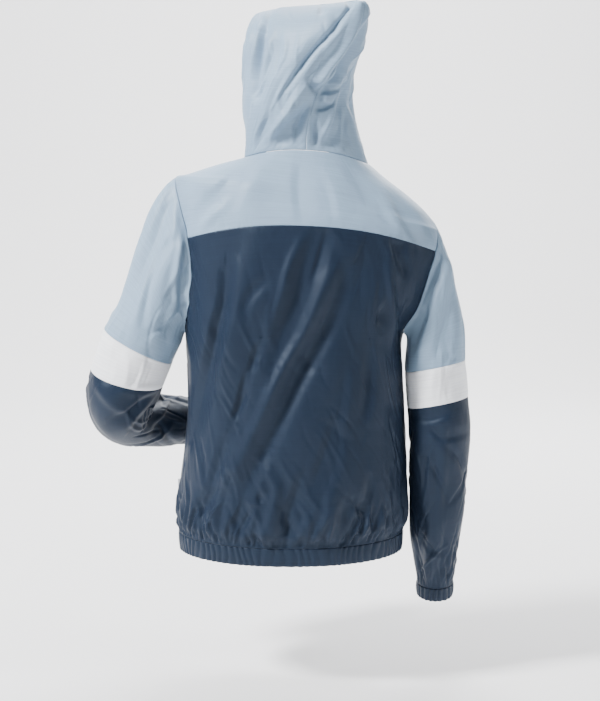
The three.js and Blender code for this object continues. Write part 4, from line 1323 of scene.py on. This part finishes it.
@dataclass
class Sleeve:
    """One sleeve: its upper part, white band, lower part and elastic cuff."""

    form: SleeveForm
    cuff_columns: int = 264
    cuff_gathers: int = 22

    def tube(self, name: str, start: float, end: float) -> Cloth:
        """A stretch of the sleeve.

        Args:
            name: Name of the piece.
            start: Distance of its upper edge down the sleeve.
            end: Distance of its lower edge.

        Returns:
            The cloth.
        """
        stations = with_rims(even(start, end, 2.6), *RIM)
        turn, s = np.meshgrid(np.radians(np.arange(0, 360, 2.0)), stations)
        normals = normal_of(self.form.base, turn, np.maximum(s, 1.2), 2e-3, 1.0, -self.form.side.sign)
        places = np.stack([turn * SLEEVE_RADIUS, -s], -1)
        return Cloth(f"{name}_cloth", self.form.surface(turn, s), normals, places, closed=True)

    def build(self) -> None:
        """Builds the four pieces."""
        form, side = self.form, self.form.side.value
        left = self.form.side is Side.LEFT
        for name, start, end, finish, slot, cut in (
            ("sleeve_upper", 0.0, form.band_top - HALF_SEAM, GREY, "grey_cloth",
             Cut(0.42, 0.25, 0.070) if left else Cut(0.40, 0.24, 0.054)),
            ("sleeve_band", form.band_top + HALF_SEAM, form.band_end - HALF_SEAM, WHITE, "white_cloth",
             Cut(0.40, 0.062, 0.0222)),
            ("sleeve_lower", form.band_end + HALF_SEAM, form.cuff_top - HALF_SEAM, NAVY, "navy_cloth",
             Cut(0.38, 0.32, 0.088) if left else Cut(0.38, 0.33, 0.095)),
        ):
            whole = f"{name}_{side}"
            piece = placed(self.tube(whole, start, end).turned_in().build(finish), slot, whole)
            cut.declare(piece, f"{'sleeve_lower' if name == 'sleeve_band' else 'sleeve_band'}_{side}")
            LOG.info("%s built", whole)
        self.cuff()

    def cuff(self) -> None:
        """Builds the elastic cuff with its gathers."""
        form = self.form
        stations = with_rims(np.linspace(form.cuff_top + HALF_SEAM, form.cuff_end, 8), *RIM)
        turn, s = np.meshgrid(np.linspace(0, 2 * np.pi, self.cuff_columns, endpoint=False), stations)
        normals = normal_of(form.section, turn, s, 2e-3, 0.5, -form.side.sign)
        round_share = turn / (2 * np.pi)
        jitter = 0.35 * noise(round_share * 7, s / 40, 9, 7)
        size = 1.7 + 0.8 * noise(round_share * 11, s / 30, 10, 11)
        share = (s - form.cuff_top) / (form.cuff_end - form.cuff_top)
        waves = size * (np.abs(np.sin(np.pi * (round_share * self.cuff_gathers + jitter))) - 0.3)
        bulge = 0.9 * np.sin(np.pi * np.clip(share, 0, 1))
        points = form.section(turn, s) + normals * (waves + bulge)[..., None]
        places = np.stack([turn * CUFF_RADIUS, -s], -1)
        name = f"cuff_{form.side.value}"
        piece = Cloth(f"{name}_cloth", points, normals, places, closed=True).turned_in().build(NAVY)
        Cut(0.25, 0.027, 0.0062, "gathered").declare(
            placed(piece, "navy_cloth", name), f"sleeve_lower_{form.side.value}")
        LOG.info("%s built", name)


@dataclass
class Hood:
    """The hood: two halves with a seam from the nape over the crown, and a stitched face edge."""

    rows: int = 130
    columns: int = 120
    round_half: float = 230.0  # from the seam to the face edge
    height: float = 270.0
    stitch_line: float = 0.925  # share of the way from the seam to the face edge

    def base(self, side: Side, a: Array, up: Array) -> Array:
        """Smooth form of one half.

        Args:
            side: The side of the wearer.
            a: Share of the way from the seam at the back to the face edge.
            up: Share of the way from the neckline to the crown.

        Returns:
            The points.
        """
        ring = HOOD_RINGS.at(up)
        ring["half"] = np.maximum(ring["half"], 0.01)
        angle = np.minimum(a * np.radians(ring["open"]), np.pi - 0.02)
        return ring_point(ring, side.sign * angle)

    def half(self, side: Side) -> tuple[Cloth, Array]:
        """One half of the hood.

        Args:
            side: The side of the wearer.

        Returns:
            The cloth, and the line of the stitches beside the face edge.
        """
        ups = with_rims(np.linspace(0, 1, self.rows + 1), 0.003, 0.008)
        shares = with_rims(np.linspace(0, 1, self.columns + 1), 0.004, 0.011)
        a, up = np.meshgrid(shares, ups)
        near_a, near_up = np.clip(a, 0.012, 0.988), np.clip(up, 0.004, 0.985)
        normals = normal_of(lambda p, q: self.base(side, p, q), near_a, near_up, 0.01, 0.004, -side.sign)
        points = self.base(side, a, up)
        seed = 110 if side is Side.LEFT else 130
        around, height = a * self.round_half, up * self.height
        folds = laid_folds(HOOD_FOLDS, points, normals, 10)
        small = drapes(around, height, seed, (8, 52), (0, self.round_half), (10, 250), 1.4)
        seam = smooth(a / 0.05) * smooth((1 - up) / 0.05)
        small = small * smooth(up / 0.06) * seam
        folds = 1.15 * folds * smooth(up / 0.05) * mix(0.35, 1, seam)
        past = a - self.stitch_line
        casing = -0.7 * np.exp(-((past / 0.008) ** 2)) + 0.35 * smooth(past / 0.02)
        tucks = NECK_PUCKERS.over(around, height, 0, self.round_half) * smooth(height / 4)
        pucker = 0.6 * YOKE_PUCKERS.over(height, around + 4, 0, self.height)
        points = points + normals * (folds + small + casing + tucks + pucker)[..., None]
        ring = HOOD_RINGS.at(up)
        yaw = np.radians(ring["yaw"])
        across = np.stack([np.cos(yaw), np.sin(yaw), 0 * yaw], -1)
        middle = np.stack([ring["x"], ring["y"], 0 * yaw], -1)
        reach = side.sign * np.sum((points - middle) * across, axis=-1)
        short = np.maximum(HALF_SEAM - reach, 0)
        points = points + across * (side.sign * short)[..., None]
        places = np.stack([around * side.sign, height], -1)
        cloth = Cloth(f"hood_{side.value}_cloth", points, normals, places)
        column = int(np.argmin(np.abs(shares - self.stitch_line)))
        line = points[4:-8, column] + normals[4:-8, column] * 0.15
        return cloth, line

    def build(self) -> None:
        """Builds both halves and their stitches."""
        for side in Side:
            cloth, line = self.half(side)
            name = f"hood_{side.value}"
            piece = placed(cloth.turned_in(2.2).build(GREY), "grey_cloth", name)
            Cut(0.26, 0.34, 0.066).declare(piece, "back_yoke")
            stitches = repeated(f"hood_stitches_{side.value}", line, Repeat.STITCH, THREAD_GREY)
            placed(stitches, "grey_cloth")
            LOG.info("%s built", name)


@dataclass(frozen=True)
class Studio:
    """Pale floor, soft lights and the camera."""

    floor: float = -0.86
    lens: float = 89.46

    def lamp(self, name: str, place: Triple, aim: Triple, size: float, power: float) -> None:
        """Adds a soft square light.

        Args:
            name: Name of the light.
            place: Where it stands, in metres.
            aim: What it faces.
            size: Length of its side.
            power: Its power in watts.
        """
        data = bpy.data.lights.new(name, "AREA")
        data.shape, data.size, data.energy = "SQUARE", size, power
        light = bpy.data.objects.new(name, data)
        light.location = place
        light.rotation_euler = (Vector(aim) - Vector(place)).to_track_quat("-Z", "Y").to_euler()
        bpy.context.collection.objects.link(light)

    def sweep(self) -> None:
        """Adds the floor, which curves up into a wall far behind the jacket."""
        near, far, bend, top, half = 6.0, -3.0, 1.5, 7.0, 9.0
        profile = [(near, self.floor)]
        profile += [
            (far - bend * math.sin(t), self.floor + bend - bend * math.cos(t))
            for t in np.linspace(0, math.pi / 2, 16)
        ]
        profile.append((far - bend, top))
        points = [(x, y, z) for y, z in profile for x in (-half, half)]
        faces = [(2 * k, 2 * k + 1, 2 * k + 3, 2 * k + 2) for k in range(len(profile) - 1)]
        mesh = bpy.data.meshes.new("studio_floor")
        mesh.from_pydata(points, [], faces)
        mesh.polygons.foreach_set("use_smooth", [True] * len(mesh.polygons))
        floor = bpy.data.objects.new("studio_floor", mesh)
        bpy.context.collection.objects.link(floor)
        material = bpy.data.materials.new("pale_floor")
        material.use_nodes = True
        shader = material.node_tree.nodes["Principled BSDF"]
        shader.inputs["Base Color"].default_value = (0.86, 0.86, 0.87, 1)
        shader.inputs["Roughness"].default_value = 0.9
        floor.data.materials.append(material)

    def build(self) -> None:
        """Builds the studio."""
        self.sweep()
        world = bpy.data.worlds.new("pale_room")
        world.use_nodes = True
        world.node_tree.nodes["Background"].inputs["Color"].default_value = (0.93, 0.96, 1, 1)
        world.node_tree.nodes["Background"].inputs["Strength"].default_value = 0.12
        bpy.context.scene.world = world
        middle = (0.0, 0.0, -0.3)
        self.lamp("key", (2.2, 1.3, 2.15), middle, 0.65, 330)
        self.lamp("fill", (-2.7, 1.0, 0.7), middle, 0.8, 36)
        self.lamp("top", (0.0, 0.1, 2.7), middle, 1.2, 8)
        self.lamp("front", (-1.0, -2.4, 1.3), middle, 1.4, 60)
        self.lamp("backdrop", (0.0, -2.2, 3.4), (0.0, -4.5, 0.3), 2.4, 430)
        data = bpy.data.cameras.new("camera")
        data.lens, data.sensor_width = self.lens, 36
        camera = bpy.data.objects.new("camera", data)
        camera.location = (0.008, 2.8, 0.03)
        aim = Vector((0.008, 0.0, -0.319))
        camera.rotation_euler = (aim - camera.location).to_track_quat("-Z", "Y").to_euler()
        bpy.context.collection.objects.link(camera)
        bpy.context.scene.camera = camera
        LOG.info("studio built")


def main() -> None:
    """Builds the jacket and its studio."""
    logging.basicConfig(level=logging.INFO, format="%(name)s: %(message)s")
    Studio().build()
    torso = Torso()
    armholes = {
        Side.LEFT: Armhole(Side.LEFT, 27, 27, torso),
        Side.RIGHT: Armhole(Side.RIGHT, 23, 27, torso),
    }
    Body(torso, armholes).build()
    for side in Side:
        Sleeve(SleeveForm(side, armholes[side])).build()
    Hood().build()


if __name__ == "__main__":
    main()
